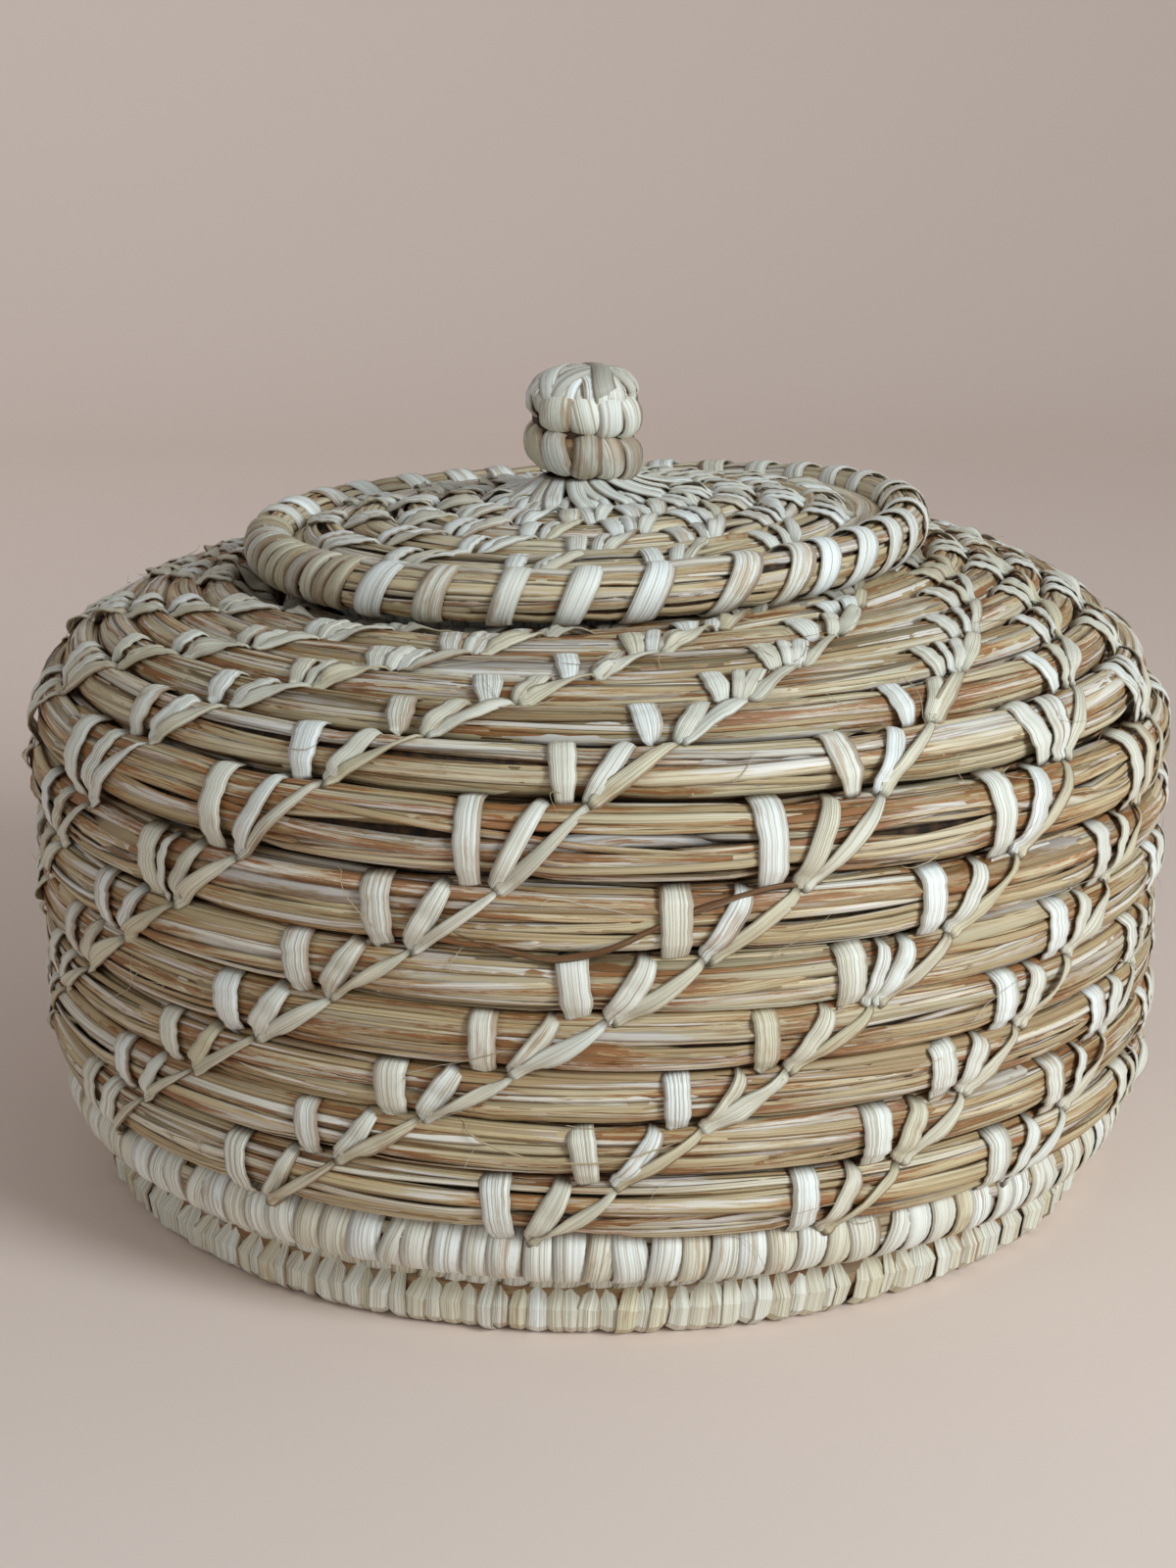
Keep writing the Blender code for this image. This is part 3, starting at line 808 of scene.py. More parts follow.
def core_shade_finish():
    """The inside of a bundle, seen between the straws: near-black and brown, painted shade."""
    finish = Finish("bundle_core_shade", roughness=0.8)
    noise = finish.noise(finish.place(), scale=420.0, detail=3.0)
    finish.feed("Base Color", finish.mix(noise.step(0.35, 0.7), CORE_SHADE_DARK, CORE_SHADE_BROWN))
    finish.bump(noise, strength=0.5, distance=0.0005)
    return finish.material


GRASS = grass_finish()
PALM = palm_finish()
CORE_SHADE = core_shade_finish()


# Making of pieces


def add_piece(name, mesh, material, body, nodes=()):
    """A piece of the scene that rides on a body and stands for these nodes of the frame."""
    mesh.materials.clear()
    mesh.materials.append(material)
    made = bpy.data.objects.new(name, mesh)
    bpy.context.collection.objects.link(made)
    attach(made, body)
    if nodes:
        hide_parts(*nodes)
    return made


def write_attribute(mesh, name, values):
    """Three numbers for each point of a mesh, which its material reads."""
    layer = mesh.attributes.new(name, "FLOAT_VECTOR", "POINT")
    layer.data.foreach_set("vector", np.ascontiguousarray(values, dtype=np.float32).ravel())


class Tubes:
    """Straws and cores: closed tubes along lines, flattened towards the bundle that they lie on."""

    def __init__(self, sides):
        self.sides = sides
        self.lines = []

    def add(self, line, away, width, flat, shade, seed, start=0.0):
        """line and away hold a row a point, and away is the way out of the bundle.

        width, flat and shade may vary along it, and flat is the straw's thickness for its width.
        """
        count = len(line)
        width = np.broadcast_to(width, count)
        flat = np.broadcast_to(flat, count)
        shade = np.broadcast_to(shade, (count, 3))
        seeds = np.full(count, float(seed))
        self.lines.append((line, away, width, flat, shade, start + walk(line), seeds))

    def build(self, name, material, body, slot, nodes=()):
        curve = bpy.data.curves.new(name, "CURVE")
        curve.dimensions = "3D"
        curve.bevel_depth = 1.0
        curve.bevel_resolution = self.sides // 2 - 2
        for line, _, width, *_ in self.lines:
            spline = curve.splines.new("POLY")
            spline.points.add(len(line) - 1)
            rows = np.c_[line, np.ones(len(line))].astype(np.float32)
            spline.points.foreach_set("co", rows.ravel())
            spline.points.foreach_set("radius", (width / 2).astype(np.float32))
            spline.use_smooth = True
        holder = bpy.data.objects.new(name, curve)
        mesh = bpy.data.meshes.new_from_object(holder)
        mesh.name = name
        bpy.data.objects.remove(holder)
        bpy.data.curves.remove(curve)
        line, away, width, flat, shade, along, seed = (
            np.concatenate([row[index] for row in self.lines]) for index in range(7)
        )
        travel = np.concatenate([gradient(row[0]) for row in self.lines])
        found = np.empty(len(mesh.vertices) * 3, np.float32)
        mesh.vertices.foreach_get("co", found)
        ring = found.reshape(len(line), self.sides, 3) - line[:, None]
        side = unit(np.cross(away, travel))
        away = np.cross(travel, side)
        out = (ring * away[:, None]).sum(axis=2)
        across = (ring * side[:, None]).sum(axis=2)
        run = (ring * travel[:, None]).sum(axis=2)
        moved = line[:, None] + side[:, None] * across[..., None]
        moved = moved + away[:, None] * (out * flat[:, None])[..., None]
        moved = moved + travel[:, None] * run[..., None]
        mesh.vertices.foreach_set("co", moved.astype(np.float32).ravel())
        half = np.maximum(width / 2, TINY)[:, None]
        grain = join(along[:, None], np.clip(across / half, -1.0, 1.0), seed[:, None])
        write_attribute(mesh, "grain", grain)
        write_attribute(mesh, "shade", np.repeat(shade, self.sides, axis=0))
        shape = bmesh.new()
        shape.from_mesh(mesh)
        bmesh.ops.remove_doubles(shape, verts=shape.verts, dist=TINY)
        shape.to_mesh(mesh)
        shape.free()
        mesh.shade_smooth()
        return add_piece(name, mesh, material, body, nodes)


class Strips:
    """Palm strips: narrow sheets laid along lines, crowned across and given a thickness."""

    def __init__(self, along, across):
        self.along = along
        self.across = across
        self.strips = []

    def add(self, line, away, width, crown, shade, seed, roll=0.0):
        """line and away hold a row for each of the strip's along + 1 places."""
        count = self.along + 1
        travel = gradient(line)
        side = unit(np.cross(away, travel))
        away = np.cross(travel, side)
        roll = np.broadcast_to(roll, count)[:, None]
        turned = side * np.cos(roll) + away * np.sin(roll)
        risen = away * np.cos(roll) - side * np.sin(roll)
        width = np.broadcast_to(width, count)
        shade = np.broadcast_to(shade, (count, 3))
        self.strips.append((line, turned, risen, width, shade, walk(line), crown, float(seed)))

    def build(self, name, material, body, slot, nodes=(), floor=None, bend=2.0):
        """bend is 2 for strips that are rounded across, and under 2 for creased, faceted ones.

        Nothing lies below floor.
        """
        rows = self.along + 1
        columns = rows * len(self.strips)
        shape = bmesh.new()
        bmesh.ops.create_grid(shape, x_segments=columns - 1, y_segments=self.across, size=0.5)
        shape.verts.ensure_lookup_table()
        links = [
            face for face in shape.faces
            if len({(vert.index % columns) // rows for vert in face.verts}) > 1
        ]
        bmesh.ops.delete(shape, geom=links, context="FACES")
        mesh = bpy.data.meshes.new(name)
        shape.to_mesh(mesh)
        shape.free()
        line, turned, risen, width, shade, walked = (
            np.concatenate([row[index] for row in self.strips]) for index in range(6)
        )
        crown, seed = (
            np.repeat([row[index] for row in self.strips], rows) for index in (6, 7)
        )
        share = np.linspace(-1.0, 1.0, self.across + 1)[:, None, None]
        points = line + turned * (share * width[:, None] / 2)
        points = points - risen * (crown[:, None] * np.abs(share) ** bend)
        if floor is not None:
            points[..., 2] = np.maximum(points[..., 2], floor)
        mesh.vertices.foreach_set("co", points.astype(np.float32).ravel())
        write_attribute(mesh, "grain", join(walked, share[..., 0], seed))
        write_attribute(mesh, "shade", np.broadcast_to(shade, points.shape))
        if bend < 2.0:
            mesh.shade_flat()
        else:
            mesh.shade_smooth()
        made = add_piece(name, mesh, material, body, nodes)
        thick = made.modifiers.new("Thickness", "SOLIDIFY")
        thick.thickness = STRIP_THICKNESS
        thick.offset = -1.0
        return made


def ends(count, reach):
    """1 at both ends of a line and 0 away from them; reach is each end's share of the line."""
    place = np.linspace(0.0, 1.0, count)
    return 1.0 - smooth_step(np.minimum(place, 1.0 - place) / reach)


def wander(draw, count, waves, size):
    """A slow random sway along a line."""
    place = np.linspace(0.0, 1.0, count)
    total = np.zeros(count)
    for wave in waves:
        total += np.sin(place * TAU * wave * draw.uniform(0.7, 1.3) + draw.uniform(0, TAU))
    return total * size / len(waves)


def sort_in(pieces, turn):
    """The piece that takes a straw which starts at this turn."""
    for limit, tubes in pieces:
        if turn < limit:
            return tubes
    return pieces[-1][1]


def straw_bundle(winding, arc, draw, pieces, tracks, width, step,
                 run=(0.14, 0.34), drop=0.0, dark=0.0, stain=1.0):
    """Lay straws side by side along a bundle, each dipping under the others at its ends.

    arc holds the first and last angle round the bundle, and tracks how many straws lie between
    them. pieces holds pairs of a last turn and the Tubes that take the straws up to it. run holds
    a straw's least and greatest length. drop sinks the straws into the bundle, dark
    darkens them with painted shade, and a stain under 1 leaves them paler. The straws also get
    painted shade at their dipping ends and where they lie low.
    """
    first, last = winding.walked[0], winding.walked[-1]
    places = even_arc(winding, math.radians(arc[0]), math.radians(arc[1]), tracks)
    gap = abs(places[-1] - places[0]) / max(tracks - 1, 1)
    for place in places:
        start = first - draw.uniform(0.0, run[0])
        while start < last:
            length = draw.uniform(*run)
            near, far = max(start, first), min(start + length + STRAW_OVERLAP, last)
            start += length
            if far - near < STRAW_LEAST:
                continue
            count = max(6, round((far - near) / step) + 1)
            distance = np.linspace(near, far, count)
            turn = np.interp(distance, winding.walked, winding.turns)
            waves = [(far - near) / sway for sway in STRAW_SWAYS]
            crossing_over = draw.random() < CROSSING_CHANCE
            drift = draw.normal(0.0, CROSSING_DRIFT if crossing_over else STRAIGHT_DRIFT) * gap
            drift = drift * np.linspace(-1.0, 1.0, count)
            around = place + wander(draw, count, waves, gap * 0.5) + drift
            around = around + draw.normal(0.0, gap * 0.2)
            dip = ends(count, min(0.5, STRAW_DIP_REACH / (far - near)))
            level = draw.normal(0.0, 0.00011) + wander(draw, count, waves, 0.00016)
            level = level + (CROSSING_LIFT if crossing_over else 0.0)
            lift = level - STRAW_SUNK - drop - dip * STRAW_DIP
            line, away = winding.bundle_line(turn, around, lift)
            size = width * float(np.clip(draw.lognormal(0.0, STRAW_SPREAD), 0.5, 2.1))
            size = size * (1.0 - dip) ** 0.35 * (1.0 + wander(draw, count, waves, 0.08))
            size[0] = size[-1] = 0.0
            travel = gradient(line)
            side = unit(np.cross(away, travel))
            roll = (draw.normal(0.0, 0.13) + wander(draw, count, waves, 0.10))[:, None]
            away = away * np.cos(roll) + side * np.sin(roll)
            # Painted shade: darker at the ends that dip under other straws, where a straw lies low,
            # and by the shade that the caller adds
            painted_shade_and_brown = np.clip(dip * 0.8 - level * 900.0 + dark, 0.0, 1.0)
            rust = draw.uniform(0.0, 1.0) ** 1.2 * 0.8 + 0.55 * winding.near_stitch(turn)
            shade = join(draw.beta(1.1, 1.2) * stain, rust * stain, painted_shade_and_brown)
            flat = STRAW_FLATNESS * draw.uniform(0.8, 1.25)
            tubes = sort_in(pieces, turn[0])
            tubes.add(line, away, size, flat, shade, draw.uniform(0.0, SEEDS), distance[0])


def straw_piece(name, winding, arcs, draw, body, sides=6, **straws):
    """One piece that takes all the straws along these arcs of a bundle."""
    tubes = Tubes(sides)
    for arc in arcs:
        straw_bundle(winding, arc, draw, [(math.inf, tubes)], **straws)
    tubes.build(name, GRASS, body, "grass")


def core_tube(name, winding, body, slot, nodes=(), per_turn=72, share=0.86, material=CORE_SHADE):
    """The middle of a bundle in painted shade: near-black, and brown straw where it is made of
    GRASS.
    """
    tubes = Tubes(8)
    count = max(8, round((winding.span[1] - winding.span[0]) * per_turn))
    turn = np.linspace(*winding.span, count)
    zero = np.zeros(count)
    line = winding.put(winding.heading(turn), turn, zero, zero)
    away = unit(winding.put(winding.heading(turn), turn, zero + MM, zero) - line)
    half = winding.half(turn) * winding.squeeze(turn) * 0.97
    depth = winding.depth(turn) * winding.squeeze(turn) * share
    width = 2.0 * half
    width[0] = width[-1] = 0.0
    # The last number of the shade darkens a straw core: painted shade
    tubes.add(line, away, width, depth / half, (1.0, 0.8, 0.45), 1.0)
    return tubes.build(name, material, body, slot, nodes)


def strip_shade(draw, count, reach, tone=0.5):
    """A strip's own tone and stain, and painted shade on its hidden ends."""
    own_tone = np.clip(draw.normal(tone, 0.22), 0.0, 1.0)
    return join(own_tone, draw.uniform(0.0, 1.0), ends(count, reach) ** 1.5)


def stitch_chain(winding, first, shift, courses, strips, draw, face=1.0, strap=0.0056,
                 strands=None, fan=99, tone=0.30):
    """A chain of stitches: a strap, an arm and a twisted strand fan up from each one's foot.

    strands are the Strips that take the twisted strands, and without them a stitch is a bare
    strap. Courses from fan on get a second arm more often. tone is the straps' own, and the rest
    is browner.
    """
    count = strips.along + 1
    place = np.linspace(0.0, 1.0, count)
    dive = ends(count, 0.09) * STITCH_DIVE
    for course in courses:
        middle = first + shift * course
        turn = winding.turn_of(math.radians(middle), course + 0.5)
        if turn > min(winding.span[1] - 0.15, LAST_STITCH_TURN):
            continue
        degree = math.radians(1.0) * winding.outline(turn)[0]
        fullness = min(1.0, winding.half(turn) / FULL_STITCH_HALF) ** 0.35
        size = strap * draw.uniform(0.86, 1.10) * fullness
        gap = size / 2 / degree
        high = course >= fan
        # Painted shadow on the stitches that lie under the lid's rim
        shaded = SHADED_DEPTH * float(smooth_step((turn - SHADED_START_TURN) / SHADED_TURNS))
        painted_rim_shadow = np.array([0.0, 0.0, shaded])

        # The strap: it leans to the left, and more so in the high courses
        lean_over = draw.normal(-0.45 if high else -0.08, 0.16) * gap
        angle = middle + lean_over * place ** 1.2
        rise = course - 0.115 + 1.145 * place
        narrow = 0.62 if high else 0.80
        width = size * (narrow + (1.0 - narrow) * smooth_step(place * 2.6))
        width = width * (1.0 + wander(draw, count, (1.5, 4.0), 0.06))
        line, away = winding.skin_line(np.radians(angle), rise, STRAP_LIFT - dive, face)
        shade = strip_shade(draw, count, HIDDEN_END, tone) + painted_rim_shadow
        strips.add(line, away, width, STRAP_CROWN, shade, draw.uniform(0, SEEDS))
        if strands is None:
            continue

        # The arms: the first one reaches up to the next stitch, and a second one is shorter
        arms = [(
            draw.uniform(1.35, 1.55), shift - gap * draw.uniform(1.30, 1.60),
            draw.uniform(0.66, 0.84), 0.0,
        )]
        if draw.random() < (0.55 if high else 0.05):
            arms.append((
                draw.uniform(0.85, 1.05), shift * draw.uniform(0.30, 0.42),
                draw.uniform(0.5, 0.7), 0.0003,
            ))
        for foot_gap, reach, share, more in arms:
            base_angle = middle + gap * foot_gap
            bend = place + 0.13 * np.sin(place * math.pi) * draw.uniform(-0.3, 1.0)
            angle = base_angle + (middle + reach - base_angle) * bend
            rise = course - 0.13 + 1.12 * place
            swell = np.sin(np.minimum(place * 2.2, 1.0) * math.pi / 2)
            width = size * share * (0.70 + 0.30 * swell)
            width = width * (1.0 - 0.22 * smooth_step((place - 0.70) / 0.30))
            lift = ARM_LIFT + more - dive
            line, away = winding.skin_line(np.radians(angle), rise, lift, face)
            shade = strip_shade(draw, count, HIDDEN_END, tone + 0.10) + painted_rim_shadow
            seed, roll = draw.uniform(0, SEEDS), draw.normal(0.0, 0.12)
            strips.add(line, away, width, ARM_CROWN, shade, seed, roll)

        # The strand: it twists, and is thin at both ends
        start_angle = middle + gap * draw.uniform(1.55, 1.9)
        end_angle = middle + shift + gap * draw.uniform(1.6, 1.95)
        angle = start_angle + (end_angle - start_angle) * place
        rise = course - 0.13 + 1.06 * place
        peak = draw.uniform(0.35, 1.15)
        width = draw.uniform(0.0024, 0.0042) * (0.45 + 0.55 * np.sin(place ** peak * math.pi))
        roll = wander(draw, count, (0.5, 1.0), 0.55)
        lift = STRAND_LIFT + np.abs(np.sin(roll)) * width * 0.25
        lift = lift - ends(count, 0.10) * STRAND_DIVE
        line, away = winding.skin_line(np.radians(angle), rise, lift, face)
        shade = strip_shade(draw, count, HIDDEN_END, tone + 0.35) + painted_rim_shadow
        strands.add(line, away, width, STRIP_CROWN, shade, draw.uniform(0, SEEDS), roll)


def wrap(winding, turn, strips, draw, width, slant=0.0, crown=STRIP_CROWN, lift=0.0003, pull=None,
         reach=176.0, pinch=0.0, roll=0.0, tone=0.35, stain_and_shade=0.0):
    """A strip wound once round a bundle.

    slant moves its top along the bundle and pull each of its places, both in metres. pinch narrows
    it by this share towards its top. stain_and_shade stains it and darkens it with painted shade.
    """
    count = strips.along + 1
    around = np.radians(np.linspace(-reach, reach, count))
    round_trip = TAU * float(winding.outline(np.array(turn))[0])
    moved = turn + slant / round_trip * np.sin(around)
    moved = moved + wander(draw, count, (1.0,), 0.0002 / round_trip)
    if pull is not None:
        moved = moved + pull(around) / round_trip
    line, away = winding.bundle_line(moved, around, lift)
    size = width * (1.0 + wander(draw, count, (1.5,), 0.05))
    size = size * (1.0 - pinch * smooth_step((np.degrees(around) - 6.0) / 48.0))
    # A stain, and darkening that is painted shade on the rim's packed wraps and own brown on the
    # knob
    shade = strip_shade(draw, count, 0.03, tone) + max(0.0, stain_and_shade) * np.array([0.0, 1.6, 1.0])
    strips.add(line, away, size, crown, shade, draw.uniform(0, SEEDS), roll)


def crossing(strips, draw, heading, radius, height, rise, settle=None, width=0.0036, shift=0.0,
             over=80.0):
    """A strip laid over a dome, from one side to the other and over degrees down from the top."""
    count = strips.along + 1
    place = np.radians(np.linspace(-over, over, count))
    reach = math.sqrt(max(radius ** 2 - shift ** 2, 1e-8))
    tuck = 1.0 - 0.14 * ends(count, 0.12)
    out = reach * rounded(np.sin(place), DOME_POWER) * tuck
    up = height + rise * rounded(np.cos(place), DOME_POWER)
    turned = heading + wander(draw, count, (0.7,), 0.10)
    line = join(
        out * np.cos(turned) - shift * np.sin(turned),
        out * np.sin(turned) + shift * np.cos(turned),
        up,
    )
    away = line - np.array([0.0, 0.0, height])
    away = unit(away * np.array([1.0, 1.0, (radius / rise) ** 2]))
    if settle:
        away = unit(settle(line + away * MM) - settle(line))
        line = settle(line)
    size = width * draw.uniform(0.8, 1.2) * (1.0 + wander(draw, count, (1.2,), 0.12))
    shade = strip_shade(draw, count, HIDDEN_END, 0.2)
    shade = shade + np.array([0.0, 0.0, max(0.0, draw.normal(0.0, 0.18))])
    strips.add(line, away, size, 0.0004, shade, draw.uniform(0, SEEDS))


# The basket


def chain_turns(winding, chains, courses, spots):
    """Turns at which the stitches draw a bundle in."""
    found = []
    for first, shift in chains:
        for course in courses:
            for spot in spots:
                angle = math.radians(first + shift * course + spot)
                found.append(winding.turn_of(angle, course + 0.5))
    return found


def make_wall():
    draw = np.random.default_rng(11)
    courses = range(STITCH_COURSES)
    wall.pinch_at(chain_turns(wall, WALL_CHAINS, courses, (0.2, 4.0)))
    core_tube("wall_core", wall, "basket", "grass", ["wall_coil"], share=0.78)
    last_turns = {"low": 3.5, "middle": 7.0, "high": 10.0, "top": 14.1}
    outer = [(last, Tubes(6)) for last in last_turns.values()]
    straw_bundle(wall, OUTER_ARC, draw, outer, tracks=15, width=0.00168, step=0.0049)
    for name, (_, tubes) in zip(last_turns, outer):
        tubes.build(f"wall_straws_{name}", GRASS, "basket", "grass")
    # The under-layer of straws lies beneath the others and gets painted shade
    straw_piece(
        "wall_straws_under", wall, [(-82, 82)], draw, "basket", sides=4,
        tracks=9, width=0.0031, step=0.0080, drop=0.0004, dark=0.35,
    )
    straw_piece(
        "wall_straws_inside", wall, [INNER_ARC], draw, "basket",
        tracks=8, width=0.0027, step=0.0105,
    )
    strips = Strips(14, 4)
    strands = Strips(14, 4)
    inner = Strips(8, 2)
    for first, shift in WALL_CHAINS:
        stitch_chain(wall, first, shift, courses, strips, draw, strands=strands, fan=7)
        stitch_chain(wall, first, shift, courses, inner, draw, face=-1.0)
    nodes = [f"stitch_rib_{rib:02d}" for rib in range(1, 16)]
    strips.build("wall_stitches", PALM, "basket", "palm", nodes)
    strands.build("wall_stitch_strands", PALM, "basket", "palm")
    inner.build("wall_stitches_inside", PALM, "basket", "palm")


def make_band():
    draw = np.random.default_rng(12)
    core_tube("band_core", band, "basket", "palm", material=GRASS)
    # The band's straws get painted shade
    straw_piece(
        "band_straws", band, [(-10, 84)], draw, "basket",
        tracks=6, width=0.0021, step=0.0050, drop=0.0004, dark=0.3,
    )
    strips = Strips(22, 3)
    count = 120
    for index in range(count):
        turn = BAND_START_TURN + 0.004 + (index + 0.5 + draw.normal(0, 0.06)) / count * 0.95
        angle = -360.0 * turn
        feet = [(angle - first + 180.0) % 360.0 - 180.0 for first, _ in WALL_CHAINS]
        nearest = min(feet, key=abs)
        aside = -math.copysign(max(0.0, 3.2 - abs(nearest)) * 0.00075, nearest)

        def pull(around, aside=aside):
            """The wraps give way to the foot of the nearest chain of stitches."""
            return aside * smooth_step((np.degrees(around) + 30.0) / 90.0)

        width = 0.0066 * draw.uniform(0.90, 1.12)
        slant = -draw.normal(0.0007, 0.0004)
        lift = 0.0004 + draw.uniform(0.0, 0.0002)
        wrap(band, turn, strips, draw, width, slant=slant, crown=0.00045, lift=lift, pull=pull,
             roll=0.10)
    strips.build("band_wraps", PALM, "basket", "palm", ["band_coil"])
    core_tube("band_start_core", band_start, "basket", "palm", material=GRASS)
    strips = Strips(16, 3)
    first, last = band_start.span
    count = round((last - first) * 122)
    for index in range(count):
        turn = first + (index + 0.5 + draw.normal(0, 0.06)) / count * (last - first)
        width = 0.0062 * draw.uniform(0.90, 1.12)
        slant = -draw.normal(0.0007, 0.0004)
        wrap(band_start, turn, strips, draw, width, slant=slant, crown=0.00045, roll=0.10)
    strips.build("band_start_wraps", PALM, "basket", "palm")


def make_foot():
    """Wraps in pairs, gathered at their tops, with a gap between one pair and the next."""
    draw = np.random.default_rng(13)
    core_tube("foot_core", foot, "basket", "palm", share=0.9, material=GRASS)
    strips = Strips(12, 4)
    pairs = 100
    step = TAU * FOOT_RADIUS / pairs
    for pair in range(pairs):
        middle = (pair + draw.normal(0, 0.03)) / pairs
        tilt = draw.normal(-0.0006, 0.0004)
        gather = draw.uniform(0.10, 0.23)
        ridge = float(np.clip(draw.normal(0.12, 0.26), -0.3, 0.45))
        for side in (-1.0, 1.0):
            share = draw.uniform(0.20, 0.29)

            def pull(around, side=side, share=share):
                drawn = smooth_step((np.degrees(around) + 4.0) / 52.0)
                return side * step * (share - gather * drawn)

            width = step / 2 * draw.uniform(1.14, 1.44)
            slant = tilt + draw.normal(0, 0.0003)
            lift = 0.0005 + draw.uniform(-0.0001, 0.0005)
            roll = side * ridge + draw.normal(0.0, 0.10)
            wrap(foot, middle, strips, draw, width, slant=slant, crown=0.0005, lift=lift,
                 pull=pull, pinch=gather * 2.4, roll=roll, tone=0.56)
    strips.build("foot_wraps", PALM, "basket", "palm", ["foot_coil"], floor=0.0004, bend=1.1)


def make_base():
    draw = np.random.default_rng(14)
    core_tube("base_core", base, "basket", "grass", ["base_coil"], per_turn=56)
    straw_piece(
        "base_straws", base, [OUTER_ARC, (96, 264)], draw, "basket",
        tracks=8, width=0.0024, step=0.0075,
    )
    strips = Strips(8, 2)
    for rib in range(12):
        for face in (1.0, -1.0):
            stitch_chain(base, 30.0 * rib, 9.0, range(-6, 0), strips, draw, face=face)
    for rise in (0.0056, -0.0050):
        for index in range(5):
            crossing(strips, draw, index * math.pi / 5, 0.0050, BASE_HEIGHT, rise)
    strips.build("base_stitches", PALM, "basket", "palm", ["base_start_knot"])


def add_hair(tubes, draw):
    """A fine fibre that stands off the wall at its end."""
    place = np.linspace(0.0, 1.0, 9)
    bow = np.sin(place * math.pi)
    angle = draw.uniform(-180.0, 180.0)
    course = draw.uniform(-0.2, 12.5)
    reach = draw.normal(0.0, 5.0)
    climb = draw.normal(0.0, 0.5)
    angles = angle + reach * place + draw.normal(0.0, 1.5) * bow
    courses = course + climb * place + draw.normal(0.0, 0.15) * bow
    lift = 0.0006 + draw.uniform(0.0, 0.0025) * place ** 2
    line, away = wall.skin_line(np.radians(angles), courses, lift)
    width = draw.uniform(0.00014, 0.00026) * (1.0 - 0.6 * place)
    width[0] = width[-1] = 0.0
    shade = (draw.uniform(0.0, 0.8), 0.2, 0.0)
    tubes.add(line, away, width, 1.0, shade, draw.uniform(0, SEEDS))


def add_loose_strand(tubes, draw, path, size, shade):
    """A strand that has come off the wall and lies over it."""
    count = 33
    fine = np.linspace(0.0, 1.0, count)
    place = np.linspace(0.0, 1.0, len(path))
    smooth = []
    for values in zip(*path):
        padded = np.pad(np.interp(fine, place, values), 3, "edge")
        smooth.append(np.convolve(padded, np.ones(7) / 7, "valid"))
    angle, course, lift = smooth
    line, away = wall.skin_line(np.radians(angle), course, lift * MM)
    width = size * (1.0 - ends(count, 0.15)) * (1.0 + wander(draw, count, (3.0,), 0.2))
    width[0] = width[-1] = 0.0
    tubes.add(line, away, width, 0.55, shade, draw.uniform(0, SEEDS))


def make_loose_fibres():
    draw = np.random.default_rng(15)
    tubes = Tubes(4)
    for _ in range(HAIRS):
        add_hair(tubes, draw)
    add_loose_strand(tubes, draw, BROWN_STRAND, BROWN_STRAND_WIDTH, (1.0, 1.0, 0.72))
    add_loose_strand(tubes, draw, PALE_STRAND, PALE_STRAND_WIDTH, (0.5, 0.1, 0.0))
    tubes.build("wall_loose_fibres", GRASS, "basket", "grass")


# The lid


def make_rim():
    draw = np.random.default_rng(21)
    angles = list(RIM_WRAPS)
    behind = RIM_WRAPS[0] + 360.0 - RIM_WRAPS[-1]
    for index in range(RIM_WRAPS_BEHIND):
        further = behind * (index + 1) / (RIM_WRAPS_BEHIND + 1)
        angles.append(RIM_WRAPS[-1] + further + draw.normal(0, 0.8))
    turns = [(0.5 - math.radians(angle) / TAU) % 1.0 for angle in angles]
    lid_rim.pinch_at(turns, reach=0.0036)
    core_tube("lid_rim_core", lid_rim, "lid", "grass", ["lid_rim_coil"])
    straw_piece(
        "lid_rim_straws", lid_rim, [(-176, 176)], draw, "lid",
        tracks=22, width=0.00215, step=0.0042, run=(0.12, 0.30), drop=0.0002, stain=0.62,
    )
    strips = Strips(22, 4)
    for angle, turn in zip(angles, turns):
        packed = PACKED_WRAPS[0] < angle < PACKED_WRAPS[1]
        width = (0.0039 if packed else 0.0056) * draw.uniform(0.88, 1.12)
        slant = -0.0030 + draw.normal(0, 0.0005)
        looks = {"crown": STRIP_CROWN, "tone": 0.12}
        # The packed wraps on the left are browner, partly their own colour and partly painted shade
        if packed:
            looks = {"crown": 0.0006, "tone": 0.62, "stain_and_shade": draw.uniform(0.1, 0.45)}
        wrap(lid_rim, turn, strips, draw, width, slant=slant, lift=0.0009, roll=0.06, **looks)
    strips.build("lid_rim_wraps", PALM, "lid", "palm")


def make_plate():
    draw = np.random.default_rng(22)
    courses = range(5)
    chains = [(180.0 + 360.0 * rib / LID_CHAINS, LID_CHAIN_SHIFT) for rib in range(LID_CHAINS)]
    lid_plate.pinch_at(chain_turns(lid_plate, chains, courses, (0.0,)))
    core_tube("lid_plate_core", lid_plate, "lid", "grass", ["lid_coil"])
    tubes = Tubes(6)
    pieces = [(math.inf, tubes)]
    # The plate's straws are made paler with stain=0.6: painted light on the lid's top
    straw_bundle(lid_plate, OUTER_ARC, draw, pieces, tracks=11, width=0.0022, step=0.0042,
                 run=(0.08, 0.2), stain=0.6)
    straw_bundle(lid_plate, INNER_ARC, draw, pieces, tracks=6, width=0.0025, step=0.0075,
                 run=(0.08, 0.2))
    tubes.build("lid_plate_straws", GRASS, "lid", "grass")
    strips = Strips(10, 3)
    for first, shift in chains:
        stitch_chain(lid_plate, first, shift, courses, strips, draw, strap=0.0044,
                     strands=strips, fan=2, tone=0.08)
        stitch_chain(lid_plate, first, shift, courses, strips, draw, strap=0.0044, face=-1.0)
    nodes = [f"lid_stitch_{rib:02d}" for rib in range(1, 10)]
    strips.build("lid_plate_stitches", PALM, "lid", "palm", nodes)


